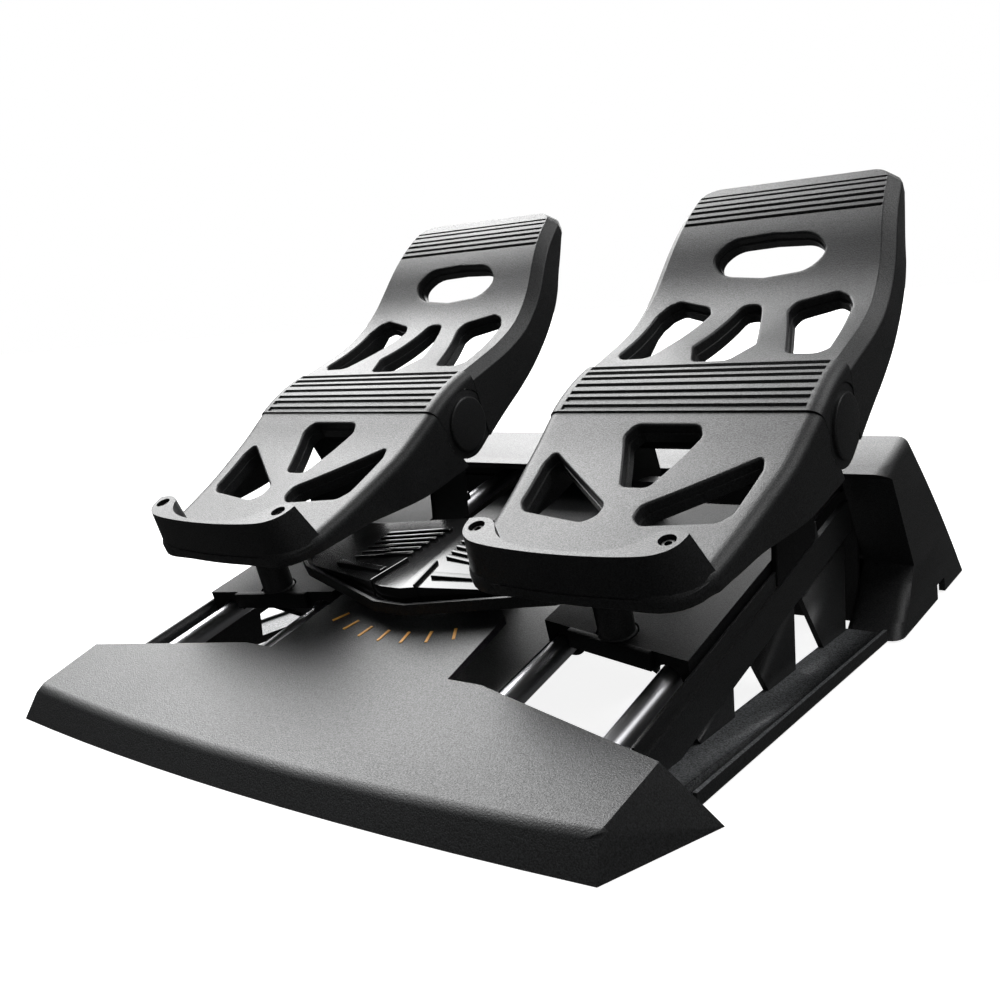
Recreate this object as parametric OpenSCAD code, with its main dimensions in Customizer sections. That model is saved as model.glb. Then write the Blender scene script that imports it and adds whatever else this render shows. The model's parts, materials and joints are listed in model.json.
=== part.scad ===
// Rudder pedal set for a flight simulator: two sliding pedals on inclined tubes,
// tied together by a rocker, each with a sprung toe brake, on a floor-standing base.
// x runs left to right, y away from the user, z up; the origin is under the middle.

/* [Base] */
// Reach of the base in front of the working zero line
front_reach = 229; // [229:0.5:232]
// Reach of the base behind the working zero line
rear_reach = 154; // [154:0.5:157]
// General wall thickness of the moulded shells
wall = 3; // [2.4:0.1:3.2]
// Gap left between pieces that are seated on each other
seat_gap = 0.3; // [0.2:0.05:0.5]

/* [Rails] */
// Slope of the rails in degrees
rail_tilt = 14.66; // [14:0.02:15.2]
// Height of the rail plane above the zero line
rail_base_z = 58; // [57:0.5:59]
// Distance of the inner tubes from the middle
rail_inner_x = 64.7; // [64.3:0.1:65.2]
// Distance of the outer tubes from the middle
rail_outer_x = 115.3; // [114.9:0.1:115.8]
// Diameter of the tubes
rail_d = 9; // [8.6:0.1:9.2]
// Bore of the tubes
rail_bore = 6; // [4:0.5:7]
// Length of the tubes in front of the zero line
rail_front = 190; // [188:0.5:191]
// Length of the tubes behind the zero line
rail_rear = 54; // [52:0.5:55]

/* [Pedals] */
// Distance of the pedal centres from the middle
pedal_x = 90.6; // [90.2:0.1:91]
// Distance of the pedal axle in front of the zero line
axle_front = 44.7; // [44:0.1:45.5]
// Height of the pedal axle
axle_z = 103.2; // [102.5:0.1:104]
// Diameter of the pedal axle
axle_d = 8; // [7:0.2:9]
// Length of the sole measured along its curve
sole_len = 264; // [262:0.5:266]
// Half width of the flat of the sole at its widest
sole_half_w = 54; // [53:0.5:55]
// Width of the rounded border outside the flat
border_w = 5.5; // [5:0.1:6]
// Drop of the rounded border
border_drop = 4.5; // [4:0.1:5]
// Greatest depth of the side skirts
skirt_depth = 36.5; // [35:0.5:38]
// Wall thickness of the pedal plates
plate_wall = 3; // [2.5:0.1:3.4]
// Radius of the round caps over the axle ends
cap_r = 13.4; // [12.5:0.1:14]
// Number of grooves in the cover over the hinge
cover_grooves = 7; // [4:1:9]
// Number of grooves near the toe
toe_grooves = 6; // [3:1:7]

/* [Carriages] */
// Inner side of the carriages
carriage_in_x = 57.5; // [57.2:0.1:57.8]
// Outer side of the carriages
carriage_out_x = 125; // [124.6:0.1:125.2]
// Height of the carriage top above the rail plane
carriage_top = 10; // [9:0.2:10.4]
// Thickness of the carriage plate
carriage_t = 4; // [3:0.2:5]
// Front outer corner of the carriage along the rails
carriage_front = 133; // [132:0.5:134]
// Rear edge of the carriage along the rails
carriage_rear = 13; // [13:0.5:16]

/* [Rocker] */
// Place of the rocker pivot along the rails
pivot_front = 85; // [84.5:0.1:85.5]
// Underside of the rocker above the rail plane
rocker_bottom = 18.5; // [18:0.1:19]
// Thickness of the rocker plate
rocker_t = 3; // [2.5:0.1:3.5]
// Height of the rocker rim
rocker_rim_h = 5; // [4.5:0.1:6]
// Distance of the link pins from the middle
link_x = 66; // [65.5:0.1:66.5]
// Diameter of the link pins
link_d = 5; // [4.5:0.1:5.5]

/* [Deck] */
// Half width of the deck along the floor at the front
deck_half_w = 142; // [140:0.5:144]
// Half width of the deck at its floor tips
deck_tip_x = 157; // [155:0.5:158]
// Height of the deck plane over the deck datum
deck_z = 12; // [11.6:0.1:12.4]
// Rise of the deck plane for each millimetre of depth
deck_slope_share = 0.296; // [0.28:0.002:0.3]
// Number of marks on the scale of the deck
tick_count = 7; // [3:1:9]

/* [Hood] */
// Height of the hood lip
hood_lip_z = 75.7; // [75:0.1:77]
// Height of the hood top
hood_top_z = 84.3; // [83.5:0.1:86]
// Width of the pillars on both sides of the mouth
pillar_w = 26.2; // [24:0.2:28]

/* [Hidden] */
$fn = 48;

// One overrun serves every cut, one running clearance every shaft
cut = 1;
run_gap = 0.06;
origin_y = (front_reach - rear_reach) / 2;
axle_y = -axle_front;
big = 400;

// Finishes as the photograph shows them
black = "#202122";
dark = "#2b2c2e";
satin = "#3a3b3d";
steel = "#8d9094";
orange = "#d98a2b";
rubber = "#151516";
green = "#1d4d2e";
brass = "#b08d4a";

module place() {
    translate([0, origin_y, 0]) children();
}
module on_rails() {
    place() translate([0, 0, rail_base_z]) rotate([rail_tilt, 0, 0]) children();
}
module at_axle(side) {
    place() translate([side * pedal_x, axle_y, axle_z]) children();
}
module along_x(r, len) {
    rotate([0, 90, 0]) cylinder(r = r, h = len, center = true);
}
module along_y(r, len) {
    rotate([-90, 0, 0]) cylinder(r = r, h = len);
}
// Extrudes an outline drawn as [y, z] between two x values
module side_slab(x0, x1) {
    translate([x0, 0, 0]) rotate([90, 0, 90]) linear_extrude(x1 - x0) children();
}
function rail_z(y) = rail_base_z + y * tan(rail_tilt);
function deck_top(y) = deck_z + deck_slope_share * (y + deck_datum);

// Outline of the hood seen from the side, which the base and the side frames follow
hood_foot_y = 14.7;
hood_notch_y = 45.7;
hood_notch_z = 27.6;
hood_cheek_y = 17.7;
hood_cheek_z = 71.9;
hood_lip_y = 7;
hood_ridge_y = 52;
tail_gap = 0.2;
hood_tail_y = rear_reach - tail_gap;
hood_low = 0.8;
hood_draft_share = 0.0625;
hood_lean_share = 0.05;
notch_y = 88;
notch_w = 16;
notch_h = 7;

// Deck: an inclined wedge with a bowed front and a tongue under the rocker
deck_datum = 217;
deck_front_y = 221.4;
deck_fold_y = 214.7;
deck_fold_x = 139.5;
deck_bow = front_reach - deck_front_y - seat_gap;
deck_rear_y = 184;
deck_tip_y = 173.2;
neck_x = 62;
neck_y = 165.5;
neck_foot_y = 146.9;
tongue_root_x = 48;
tongue_end_x = 44;
tongue_end_y = 118;
tongue_corner = 8;
bow_steps = 12;
function bow(x, half, depth) = depth * (1 - pow(x / half, 2));
module deck_form(inset) {
    low = inset > 0 ? -cut : 0;
    hull() {
        for (i = [0:bow_steps]) {
            xf = (deck_half_w - inset) * (2 * i / bow_steps - 1);
            xt = (deck_fold_x - inset) * (2 * i / bow_steps - 1);
            yf = -deck_front_y - bow(xf, deck_half_w - inset, deck_bow) + inset;
            yt = -deck_fold_y - bow(xt, deck_fold_x - inset, deck_bow) + inset;
            translate([xf, yf, low]) linear_extrude(run_gap) square(run_gap, center = true);
            translate([xt, yt, deck_top(yt) - inset - run_gap])
                linear_extrude(run_gap) square(run_gap, center = true);
        }
        for (side = [-1, 1]) {
            // The inner form runs out past the rear plane, so the deck is open behind
            back = 3 * inset;
            points = [
                [deck_half_w - inset, back - deck_rear_y, deck_top(back - deck_rear_y) - inset],
                [deck_tip_x - 2 * inset, back - deck_tip_y, low],
                [neck_x - inset, back - neck_y, deck_top(back - neck_y) - inset],
                [neck_x - inset, back - neck_foot_y, low]
            ];
            for (p = points)
                translate([side * p[0], p[1], p[2]])
                    linear_extrude(run_gap) square(run_gap, center = true);
        }
    }
}
module tongue() {
    deck_angle = atan(deck_slope_share);
    reach = (deck_rear_y - tongue_end_y) / cos(deck_angle);
    translate([0, -deck_rear_y, deck_top(-deck_rear_y)]) rotate([deck_angle, 0, 0])
        translate([0, 0, -wall]) linear_extrude(wall)
            polygon([
                [-tongue_root_x, 0], [tongue_root_x, 0],
                [tongue_end_x, reach - tongue_corner], [tongue_end_x - tongue_corner, reach],
                [-tongue_end_x + tongue_corner, reach], [-tongue_end_x, reach - tongue_corner]
            ]);
}
module front_deck() {
    color(dark) place() {
        difference() {
            deck_form(0);
            deck_form(wall);
        }
        tongue();
    }
}

// Scale of marks, fanned about the rocker pivot
tick_inner_r = 59.4;
tick_outer_r = 67;
tick_w = 1.2;
tick_t = 0.3;
tick_step = 9.6;
tick_centre_y = 87;
module deck_ticks() {
    deck_angle = atan(deck_slope_share);
    color(orange) place()
        translate([0, -tick_centre_y, deck_top(-tick_centre_y)]) rotate([deck_angle, 0, 0])
            for (i = [0:tick_count - 1])
                rotate([0, 0, (i - (tick_count - 1) / 2) * tick_step])
                    translate([-tick_w / 2, -tick_outer_r, 0])
                        cube([tick_w, tick_outer_r - tick_inner_r, tick_t]);
}

// Side frames: a floor strip, a trestle of leaning legs and the beam beside the tubes
cheek_t = 3;
strip_in_x = carriage_out_x + cheek_t;
mouth_half_w = strip_in_x - cheek_t;
hood_half_w = mouth_half_w + pillar_w;
strip_w = 17.5;
strip_out_x = strip_in_x + strip_w;
strip_low = 0.8;
strip_high = 4.5;
strip_front = 168;
strip_back = 14.4;
lip_w = 1.5;
lip_h = 1.5;
beam_t = 2.4;
beam_in_x = strip_in_x - beam_t;
beam_low = -15;
beam_high = -0.5;
beam_front = 172;
beam_back = hood_cheek_y / cos(rail_tilt);
leg_pitch = 57.5;
leg_w = 24;
leg_first = 127;
leg_lean_share = 0.8;
leg_count = 3;
module leg(y) {
    rise = rail_z(y) + beam_low - strip_low;
    polygon([
        [y, strip_low], [y + leg_w, strip_low], [y + leg_w, rise + leg_w / 2],
        [y - leg_lean_share * rise, rise]
    ]);
}
module side_frame(side) {
    color(black) {
        place() for (i = [0:leg_count - 1])
            scale_side(side) side_slab(beam_in_x, strip_in_x) leg(i * leg_pitch - leg_first);
        on_rails() scale_side(side) translate([beam_in_x, -beam_front, beam_low])
            cube([strip_in_x - beam_in_x, beam_front + beam_back, beam_high - beam_low]);
        place() scale_side(side) {
            translate([beam_in_x, -strip_front, strip_low])
                cube([strip_out_x - beam_in_x, strip_front + strip_back, strip_high - strip_low]);
            translate([strip_out_x - lip_w, -strip_front, strip_high])
                cube([lip_w, strip_front + strip_back, lip_h]);
        }
    }
}
module scale_side(side) {
    if (side > 0) children();
    else mirror([1, 0, 0]) children();
}

// Guide tubes
module rail(x) {
    color(steel) on_rails() translate([x, -rail_front, 0]) difference() {
        along_y(rail_d / 2, rail_front + rail_rear);
        translate([0, -cut, 0]) along_y(rail_bore / 2, rail_front + rail_rear + 2 * cut);
    }
}
module rail_bores(extra) {
    on_rails() for (x = [-rail_outer_x, -rail_inner_x, rail_inner_x, rail_outer_x])
        translate([x, -big, 0]) along_y(rail_d / 2 + extra, 2 * big);
}

// Crossbars that hold the tube ends
cross_half_w = 124;
cross_front_y = 186;
cross_d = 16;
cross_low = 3;
front_bar_high = deck_top(-cross_front_y) - wall - 2 * seat_gap;
module front_crossbar() {
    color(black) difference() {
        place() translate([-cross_half_w, -cross_front_y, cross_low])
            cube([2 * cross_half_w, cross_d, front_bar_high - cross_low]);
        rail_bores(run_gap);
    }
}
rear_bar_y = 41;
rear_bar_d = 14;
rear_bar_half_w = mouth_half_w - cheek_t;
rear_bar_low = 60;
rear_bar_high = hood_cheek_z + 2 * wall;
rear_leg_x = 90;
rear_leg_w = 22;
plate_low = 0.8;
plate_t = 2.5;
screw_d = 3;
screw_head_d = 7;
screw_depth = 9;
module rear_crossbar() {
    color(black) difference() {
        place() {
            translate([-rear_bar_half_w, rear_bar_y, rear_bar_low])
                cube([2 * rear_bar_half_w, rear_bar_d, rear_bar_high - rear_bar_low]);
            for (side = [-1, 1])
                translate([side * rear_leg_x - rear_leg_w / 2, rear_bar_y, plate_low + plate_t])
                    cube([rear_leg_w, rear_bar_d, rear_bar_low - plate_low]);
        }
        rail_bores(run_gap);
        screw_holes(screw_d / 2 + run_gap, screw_depth);
    }
}
module screw_holes(r, depth) {
    place() for (side = [-1, 1])
        translate([side * rear_leg_x, rear_bar_y + rear_bar_d / 2, plate_low - cut])
            cylinder(r = r, h = plate_t + depth + cut);
}

// Floor plate under the hood
base_half_w = rear_bar_half_w;
base_front = rear_bar_y - seat_gap;
base_back = hood_tail_y - 2.6 * wall;
module rear_base_plate() {
    color(black) difference() {
        place() translate([-base_half_w, base_front, plate_low])
            cube([2 * base_half_w, base_back - base_front, plate_t]);
        screw_holes(screw_d / 2 + run_gap, screw_depth);
    }
}
head_t = 0.6;
module base_screws() {
    color(steel) place() for (side = [-1, 1])
        translate([side * rear_leg_x, rear_bar_y + rear_bar_d / 2, plate_low - head_t]) {
            cylinder(r = screw_head_d / 2, h = head_t);
            cylinder(r = screw_d / 2, h = head_t + plate_t + screw_depth - cut);
        }
}

// Hood over the rear: a notched side outline with leaning sides
function hood_x(y, z) = hood_half_w - hood_draft_share * (y - hood_foot_y) - hood_lean_share * z;
module hood_outline() {
    polygon([
        [hood_foot_y, hood_low], [hood_notch_y, hood_notch_z], [hood_cheek_y, hood_cheek_z],
        [hood_lip_y, hood_lip_z], [hood_ridge_y, hood_top_z], [hood_tail_y, hood_low]
    ]);
}
module hood_core(inset) {
    hull() for (y = [hood_lip_y - cut, hood_tail_y + cut]) for (z = [-cut, hood_top_z + cut])
        translate([-hood_x(y, z) + inset, y, z]) cube([2 * (hood_x(y, z) - inset), run_gap, run_gap]);
}
module rear_hood() {
    color(dark) place() difference() {
        union() {
            difference() {
                intersection() {
                    side_slab(-hood_half_w - cut, hood_half_w + cut) hood_outline();
                    hood_core(0);
                }
                intersection() {
                    side_slab(-hood_half_w, hood_half_w) hood_inside();
                    hood_core(wall);
                }
                side_slab(-mouth_half_w, mouth_half_w) mouth_outline();
            }
            for (side = [-1, 1]) scale_side(side)
                side_slab(mouth_half_w, mouth_half_w + cheek_t) cheek_outline();
        }
        for (side = [-1, 1]) scale_side(side)
            translate([hood_half_w - hood_half_w / 4, notch_y, hood_low - cut])
                cube([hood_half_w / 4, notch_w, notch_h + cut]);
        translate([0, gland_y - 2 * gland_len, gland_z]) along_y(gland_d / 2, 4 * gland_len);
    }
}
// The inside follows the outline one wall in, and is open to the floor
module hood_inside() {
    polygon([
        [hood_foot_y + 2 * wall, -cut], [hood_foot_y + 2 * wall, hood_low + wall / 2],
        [hood_notch_y + 1.6 * wall, hood_notch_z], [hood_cheek_y + 1.5 * wall, hood_cheek_z],
        [hood_lip_y + 2 * wall, hood_lip_z - wall * 0.7], [hood_ridge_y, hood_top_z - wall],
        [hood_tail_y - 1.8 * wall, hood_low + wall / 2], [hood_tail_y - 1.8 * wall, -cut]
    ]);
}
module mouth_outline() {
    polygon([
        [hood_lip_y - wall, -cut], [rear_bar_y + rear_bar_d, -cut],
        [rear_bar_y + rear_bar_d, hood_cheek_z],
        [hood_cheek_y, hood_cheek_z - wall / 3], [hood_lip_y - wall, hood_cheek_z - wall / 3]
    ]);
}
module cheek_outline() {
    polygon([
        [hood_foot_y, hood_low], [hood_notch_y, hood_notch_z], [hood_cheek_y, hood_cheek_z],
        [rear_bar_y + rear_bar_d, hood_cheek_z + wall], [rear_bar_y + rear_bar_d, hood_low]
    ]);
}
gland_d = 9;
gland_z = 26;
gland_y = hood_tail_y - (hood_tail_y - hood_ridge_y) * (gland_z / hood_top_z);
gland_flange = 2;
gland_len = 10;
module cable_grommet() {
    color(rubber) place() translate([0, gland_y - gland_len, gland_z]) difference() {
        along_y(gland_d / 2 - run_gap, gland_len + gland_flange);
        translate([0, -cut, 0]) along_y(gland_d / 4, gland_len + gland_flange + 2 * cut);
    }
}

// Wall inside the mouth with holes for the tubes
panel_t = 3;
panel_y = rear_bar_y - seat_gap - panel_t;
panel_hole_gap = 1.5;
panel_high = hood_cheek_z - wall;
ledge_z = 62;
module mouth_panel() {
    color(black) difference() {
        place() {
            translate([-mouth_half_w + seat_gap, panel_y, hood_low])
                cube([2 * (mouth_half_w - seat_gap), panel_t, panel_high - hood_low]);
            translate([-mouth_half_w + seat_gap, panel_y - panel_t, ledge_z])
                cube([2 * (mouth_half_w - seat_gap), panel_t, panel_t / 2]);
        }
        rail_bores(panel_hole_gap);
    }
}

// Tray between the inner tubes, with the boss of the rocker pivot
tray_half_w = 55;
tray_top = -2;
tray_t = 3;
boss_r = 12;
boss_top = 17.5;
pivot_d = 8;
tray_front_u = (cross_front_y - cross_d - 2 * seat_gap) / cos(rail_tilt) - tray_t;
tray_back_u = (panel_y - panel_t) / cos(rail_tilt) - tray_t;
module centre_tray() {
    color(black) on_rails() difference() {
        union() {
            translate([-tray_half_w, -tray_front_u, tray_top - tray_t])
                cube([2 * tray_half_w, tray_front_u + tray_back_u, tray_t]);
            translate([0, -pivot_front, tray_top - tray_t])
                cylinder(r = boss_r, h = boss_top - tray_top + tray_t);
        }
        translate([0, -pivot_front, tray_top - tray_t - cut])
            cylinder(r = pivot_d / 2 + run_gap, h = boss_top - tray_top + tray_t + 2 * cut);
    }
}
pivot_head_r = 8;
pivot_head_t = 1.6;
rocker_top = rocker_bottom + rocker_t;
module rocker_axle() {
    color(steel) on_rails() translate([0, -pivot_front, tray_top - tray_t]) {
        cylinder(r = pivot_d / 2, h = rocker_top + seat_gap - tray_top + tray_t);
        translate([0, 0, rocker_top + seat_gap - tray_top + tray_t])
            cylinder(r = pivot_head_r, h = pivot_head_t);
    }
}
spring_wire = 3;
spring_h = 11;
module rocker_spring() {
    color(steel) on_rails() translate([0, -pivot_front, tray_top + seat_gap]) difference() {
        cylinder(r = boss_r + seat_gap + spring_wire, h = spring_h);
        translate([0, 0, -cut]) cylinder(r = boss_r + seat_gap, h = spring_h + 2 * cut);
    }
}
sensor_w = 16;
sensor_d = 12;
sensor_h = 8;
module rudder_sensor() {
    color(green) on_rails()
        translate([-sensor_w / 2, -pivot_front + 2 * boss_r, tray_top])
            cube([sensor_w, sensor_d, sensor_h]);
}
board_w = 80;
board_t = 1.6;
board_front = rear_bar_y + rear_bar_d;
board_lead_share = 0.25;
board_depth_share = 0.5;
board_y = board_front + board_lead_share * (base_back - board_front);
board_d = board_depth_share * (base_back - board_front);
post_h = 6;
post_r = 3;
module circuit_board() {
    color(green) place() {
        translate([-board_w / 2, board_y, plate_low + plate_t + post_h])
            cube([board_w, board_d, board_t]);
        for (x = [-1, 1]) for (y = [0, 1])
            translate([
                x * (board_w / 2 - 2 * post_r),
                board_y + 2 * post_r + y * (board_d - 4 * post_r), plate_low + plate_t
            ]) cylinder(r = post_r, h = post_h);
    }
}

// Pads under the strips, the deck ends and the floor plate
foot_r = 7;
foot_rows = 3;
module rubber_feet() {
    color(rubber) place() {
        for (side = [-1, 1]) for (i = [0:foot_rows - 1])
            translate([
                side * (strip_in_x + strip_out_x) / 2,
                -strip_front + 2 * foot_r + i * (strip_front + strip_back - 4 * foot_r) / (foot_rows - 1),
                0
            ]) cylinder(r = foot_r, h = strip_low);
        for (side = [-1, 1])
            translate([side * (base_half_w - 2 * foot_r), base_back - 2 * foot_r, 0])
                cylinder(r = foot_r, h = plate_low);
    }
}

// Carriages: a plate over two tubes, with lips and sleeves
carriage_inner_front = 119.6;
lip_low = 0.5;
sleeve_r = 7;
sleeve_len = 22;
sleeve_front_u = 116;
sleeve_back_u = 40;
bush_r = 6;
bush_len = 16;
carriage_lip = 3;
arch_gap = 1.2;
module sleeve_places() {
    for (x = [rail_inner_x, rail_outer_x]) for (u = [-sleeve_front_u, -sleeve_back_u])
        translate([x, u, 0]) children();
}
module carriage_shape() {
    polygon([
        [carriage_in_x, -carriage_inner_front], [carriage_out_x, -carriage_front],
        [carriage_out_x, -carriage_rear], [carriage_in_x, -carriage_rear]
    ]);
}
module carriage_front_lip() {
    polygon([
        [carriage_in_x, -carriage_inner_front], [carriage_out_x, -carriage_front],
        [carriage_out_x, -carriage_front + carriage_lip],
        [carriage_in_x, -carriage_inner_front + carriage_lip]
    ]);
}
post_u = 121;
post_r_big = 8.3;
post_low = -4;
post_collar = 11;
module carriage(side) {
    color(black) on_rails() scale_side(side) difference() {
        union() {
            translate([0, 0, carriage_top - carriage_t]) linear_extrude(carriage_t) carriage_shape();
            translate([0, 0, lip_low]) linear_extrude(carriage_top - lip_low) carriage_front_lip();
            translate([carriage_out_x - carriage_lip, -carriage_front + carriage_lip, lip_low])
                cube([
                    carriage_lip, carriage_front - carriage_lip - carriage_rear,
                    carriage_top - lip_low
                ]);
            sleeve_places() along_y(sleeve_r, sleeve_len);
            translate([pedal_x, -post_u, lip_low]) cylinder(r = post_collar, h = carriage_top - lip_low);
        }
        for (x = [rail_inner_x, rail_outer_x])
            translate([x, -carriage_front - cut, 0])
                along_y(rail_d / 2 + arch_gap, carriage_front);
        sleeve_places() translate([0, (sleeve_len - bush_len) / 2, 0]) along_y(bush_r, bush_len);
        translate([pedal_x, -post_u, lip_low - cut])
            cylinder(r = post_r_big, h = carriage_top + 2 * cut);
        translate([link_x, -pivot_front, carriage_top - carriage_t - cut])
            cylinder(r = link_d / 2, h = carriage_t + 2 * cut);
    }
}
module glide_bushes(side) {
    color(brass) on_rails() scale_side(side) sleeve_places()
        translate([0, (sleeve_len - bush_len) / 2 + run_gap, 0]) difference() {
            along_y(bush_r - run_gap / 2, bush_len - 2 * run_gap);
            translate([0, -cut, 0]) along_y(rail_d / 2 + run_gap, bush_len + 2 * cut);
        }
}

// Heel posts with a rubber cap, under the heel of each pedal
post_top = 35;
bumper_h = 3;
module heel_post(side) {
    color(black) on_rails() scale_side(side) translate([pedal_x, -post_u, post_low])
        cylinder(r = post_r_big - run_gap, h = post_top - post_low);
}
module heel_bumper(side) {
    color(rubber) on_rails() scale_side(side) translate([pedal_x, -post_u, post_top])
        cylinder(r = post_r_big - run_gap, h = bumper_h);
}

// Uprights carry the axle between the skirts of each pedal
upright_t = 2.6;
upright_r = 14;
upright_back_y = 20;
upright_front_y = 46;
upright_knee_z = 79;
outer_front_y = 60;
function tangent_point(q, c, r, turn) =
    let(v = q - c, a = atan2(v[1], v[0]) + turn * acos(r / norm(v)))
    c + r * [cos(a), sin(a)];
module upright_outline(front_y) {
    hub = [axle_y, axle_z];
    knee_back = [-upright_back_y, upright_knee_z];
    knee_front = [-upright_front_y, upright_knee_z];
    circle(r = upright_r);
    translate([-hub[0], -hub[1]]) polygon([
        [-front_y, rail_z(-front_y)], [-upright_back_y, rail_z(-upright_back_y)],
        knee_back, tangent_point(knee_back, hub, upright_r, 1), hub,
        tangent_point(knee_front, hub, upright_r, -1), knee_front,
        [-front_y, min(upright_knee_z, rail_z(-front_y) + carriage_top + upright_r)]
    ]);
}
module upright(side, outer) {
    x0 = outer ? carriage_out_x + run_gap : carriage_in_x - upright_t - run_gap;
    color(black) place() scale_side(side) difference() {
        translate([0, axle_y, axle_z]) side_slab(x0, x0 + upright_t)
            upright_outline(outer ? outer_front_y : upright_front_y);
        translate([x0, axle_y, axle_z]) along_x(axle_d / 2 + run_gap, 4 * upright_t);
    }
}
axle_half = sole_half_w + border_w - plate_wall;
module pedal_axle(side) {
    color(steel) at_axle(side) along_x(axle_d / 2, 2 * axle_half);
}
pin_flange = 1.2;
pin_low = carriage_top - carriage_t;
module link_pin(side) {
    color(steel) on_rails() scale_side(side) translate([link_x, -pivot_front, 0]) {
        translate([0, 0, pin_low])
            cylinder(r = link_d / 2 - run_gap, h = rocker_top - pin_low + seat_gap);
        translate([0, 0, carriage_top]) cylinder(r = link_d, h = pin_flange);
    }
}
brake_box_w = 10;
brake_box_d = 14;
module brake_sensor(side) {
    color(green) place() scale_side(side)
        translate([
            carriage_in_x + run_gap, -upright_front_y, upright_knee_z - brake_box_w
        ]) cube([brake_box_w, brake_box_d, brake_box_w]);
}

// Sole of the pedals: a chain of arcs given by its slope along its length
sole_start = [-106.1, -39.2];
sole_slope_shares = [
    [0, 22], [0.25, 32], [0.318, 38.5], [0.364, 38], [0.424, 29], [0.485, 20], [0.576, 20.5],
    [0.652, 29.5], [0.72, 44.5], [0.773, 55.5], [0.811, 57.5], [0.856, 52], [0.924, 40], [1, 27]
];
sole_width_shares = [
    [0, 0.796], [0.083, 0.852], [0.178, 0.907], [0.254, 0.963], [0.36, 1], [0.489, 0.996],
    [0.674, 0.981], [0.773, 0.944], [0.871, 0.88], [0.958, 0.833], [1, 0.815]
];
skirt_shares = [
    [0, 0.178], [0.061, 0.233], [0.144, 0.356], [0.265, 0.712], [0.364, 1], [0.462, 0.986],
    [0.534, 0.836], [0.61, 0.699], [0.686, 0.575], [0.746, 0.548], [0.803, 0.548],
    [0.898, 0.438], [0.958, 0.247], [1, 0.17]
];
sole_steps = 88;
step_len = sole_len / sole_steps;
sole_line = [
    for (i = 0, p = sole_start; i <= sole_steps;
        a = (lookup((i + 0.5) / sole_steps, sole_slope_shares)),
        p = p + step_len * [cos(a), sin(a)], i = i + 1) p
];
function sole_at(s) =
    let(k = max(0, min(sole_steps - 1, floor(s / step_len))), f = s / step_len - k)
    sole_line[k] * (1 - f) + sole_line[k + 1] * f;
function slope_at(s) = lookup(s / sole_len, sole_slope_shares);
function half_at(s) = sole_half_w * lookup(s / sole_len, sole_width_shares);
function skirt_at(s) = skirt_depth * lookup(s / sole_len, skirt_shares);
// A point of the plate: x across, s along the sole, n out of the sole
function plate_point(x, s, n) =
    let(p = sole_at(s), a = slope_at(s)) [x, p[0] - n * sin(a), p[1] + n * cos(a)];
function plate_ring(s, lift) = let(
        w = half_at(s), b = w + border_w, d = max(skirt_at(s), border_drop + plate_wall), t = plate_wall
    ) [
        plate_point(-b, s, -d), plate_point(-b, s, lift - border_drop), plate_point(-w, s, lift),
        plate_point(w, s, lift), plate_point(b, s, lift - border_drop), plate_point(b, s, -d),
        plate_point(b - t, s, -d), plate_point(b - t, s, lift - border_drop - t / 2),
        plate_point(w - t / 2, s, lift - t), plate_point(t / 2 - w, s, lift - t),
        plate_point(t - b, s, lift - border_drop - t / 2), plate_point(t - b, s, -d)
    ];
module plate_shell(s0, s1, count, lift) {
    rings = [for (i = [0:count]) plate_ring(s0 + (s1 - s0) * i / count, lift)];
    m = len(rings[0]);
    polyhedron(
        points = [for (r = rings) each r],
        faces = [
            for (j = [0:m / 2 - 2]) each [[j, j + 1, m - 2 - j], [j, m - 2 - j, m - 1 - j]],
            for (i = [0:count - 1]) for (j = [0:m - 1]) let(k = (j + 1) % m)
                each [[i * m + j, (i + 1) * m + j, (i + 1) * m + k], [i * m + j, (i + 1) * m + k, i * m + k]],
            for (j = [0:m / 2 - 2]) let(e = count * m)
                each [[e + j, e + m - 2 - j, e + j + 1], [e + j, e + m - 1 - j, e + m - 2 - j]]
        ]
    );
}
module at_sole(s) {
    p = sole_at(s);
    translate([0, p[0], p[1]]) rotate([slope_at(s), 0, 0]) children();
}
// Openings are outlines in shares of the half width and of the sole length
hole_depth = 60;
module sole_hole(shape, middle_share) {
    s = middle_share * sole_len;
    at_sole(s) translate([0, 0, -hole_depth / 4]) linear_extrude(hole_depth / 2)
        polygon([for (p = shape) [p[0] * sole_half_w, p[1] * sole_len - s]]);
}
function flip(shape) = [for (i = [len(shape) - 1:-1:0]) [-shape[i][0], shape[i][1]]];
heel_centre_shares = [
    [-0.26, 0.335], [0.26, 0.335], [0.306, 0.312], [0.28, 0.28], [0.1, 0.206], [-0.1, 0.206],
    [-0.28, 0.28], [-0.306, 0.312]
];
heel_side_shares = [
    [0.22, 0.126], [0.74, 0.143], [0.815, 0.165], [0.86, 0.254], [0.82, 0.276], [0.145, 0.166],
    [0.145, 0.144]
];
toe_oval_shares = [
    [-0.4, 0.765], [0, 0.752], [0.4, 0.765], [0.489, 0.797], [0.4, 0.83], [0, 0.837],
    [-0.4, 0.83], [-0.489, 0.797]
];
toe_centre_shares = [
    [-0.14, 0.503], [0.14, 0.503], [0.25, 0.56], [0.08, 0.687], [-0.08, 0.687], [-0.25, 0.56]
];
toe_side_shares = [
    [0.6, 0.521], [0.8, 0.519], [0.87, 0.535], [0.84, 0.675], [0.685, 0.708], [0.37, 0.686],
    [0.342, 0.668]
];
cover_start = 0.3621 * sole_len;
cover_end = 0.4871 * sole_len;
toe_band_start = 0.8712 * sole_len;
toe_band_end = 0.9583 * sole_len;
groove_w = 1.4;
groove_d = 1.5;
seam = 0.3;
cover_rise = 0.8;
ear_r = 16.5;
cover_skirt = 7.5;
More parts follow.
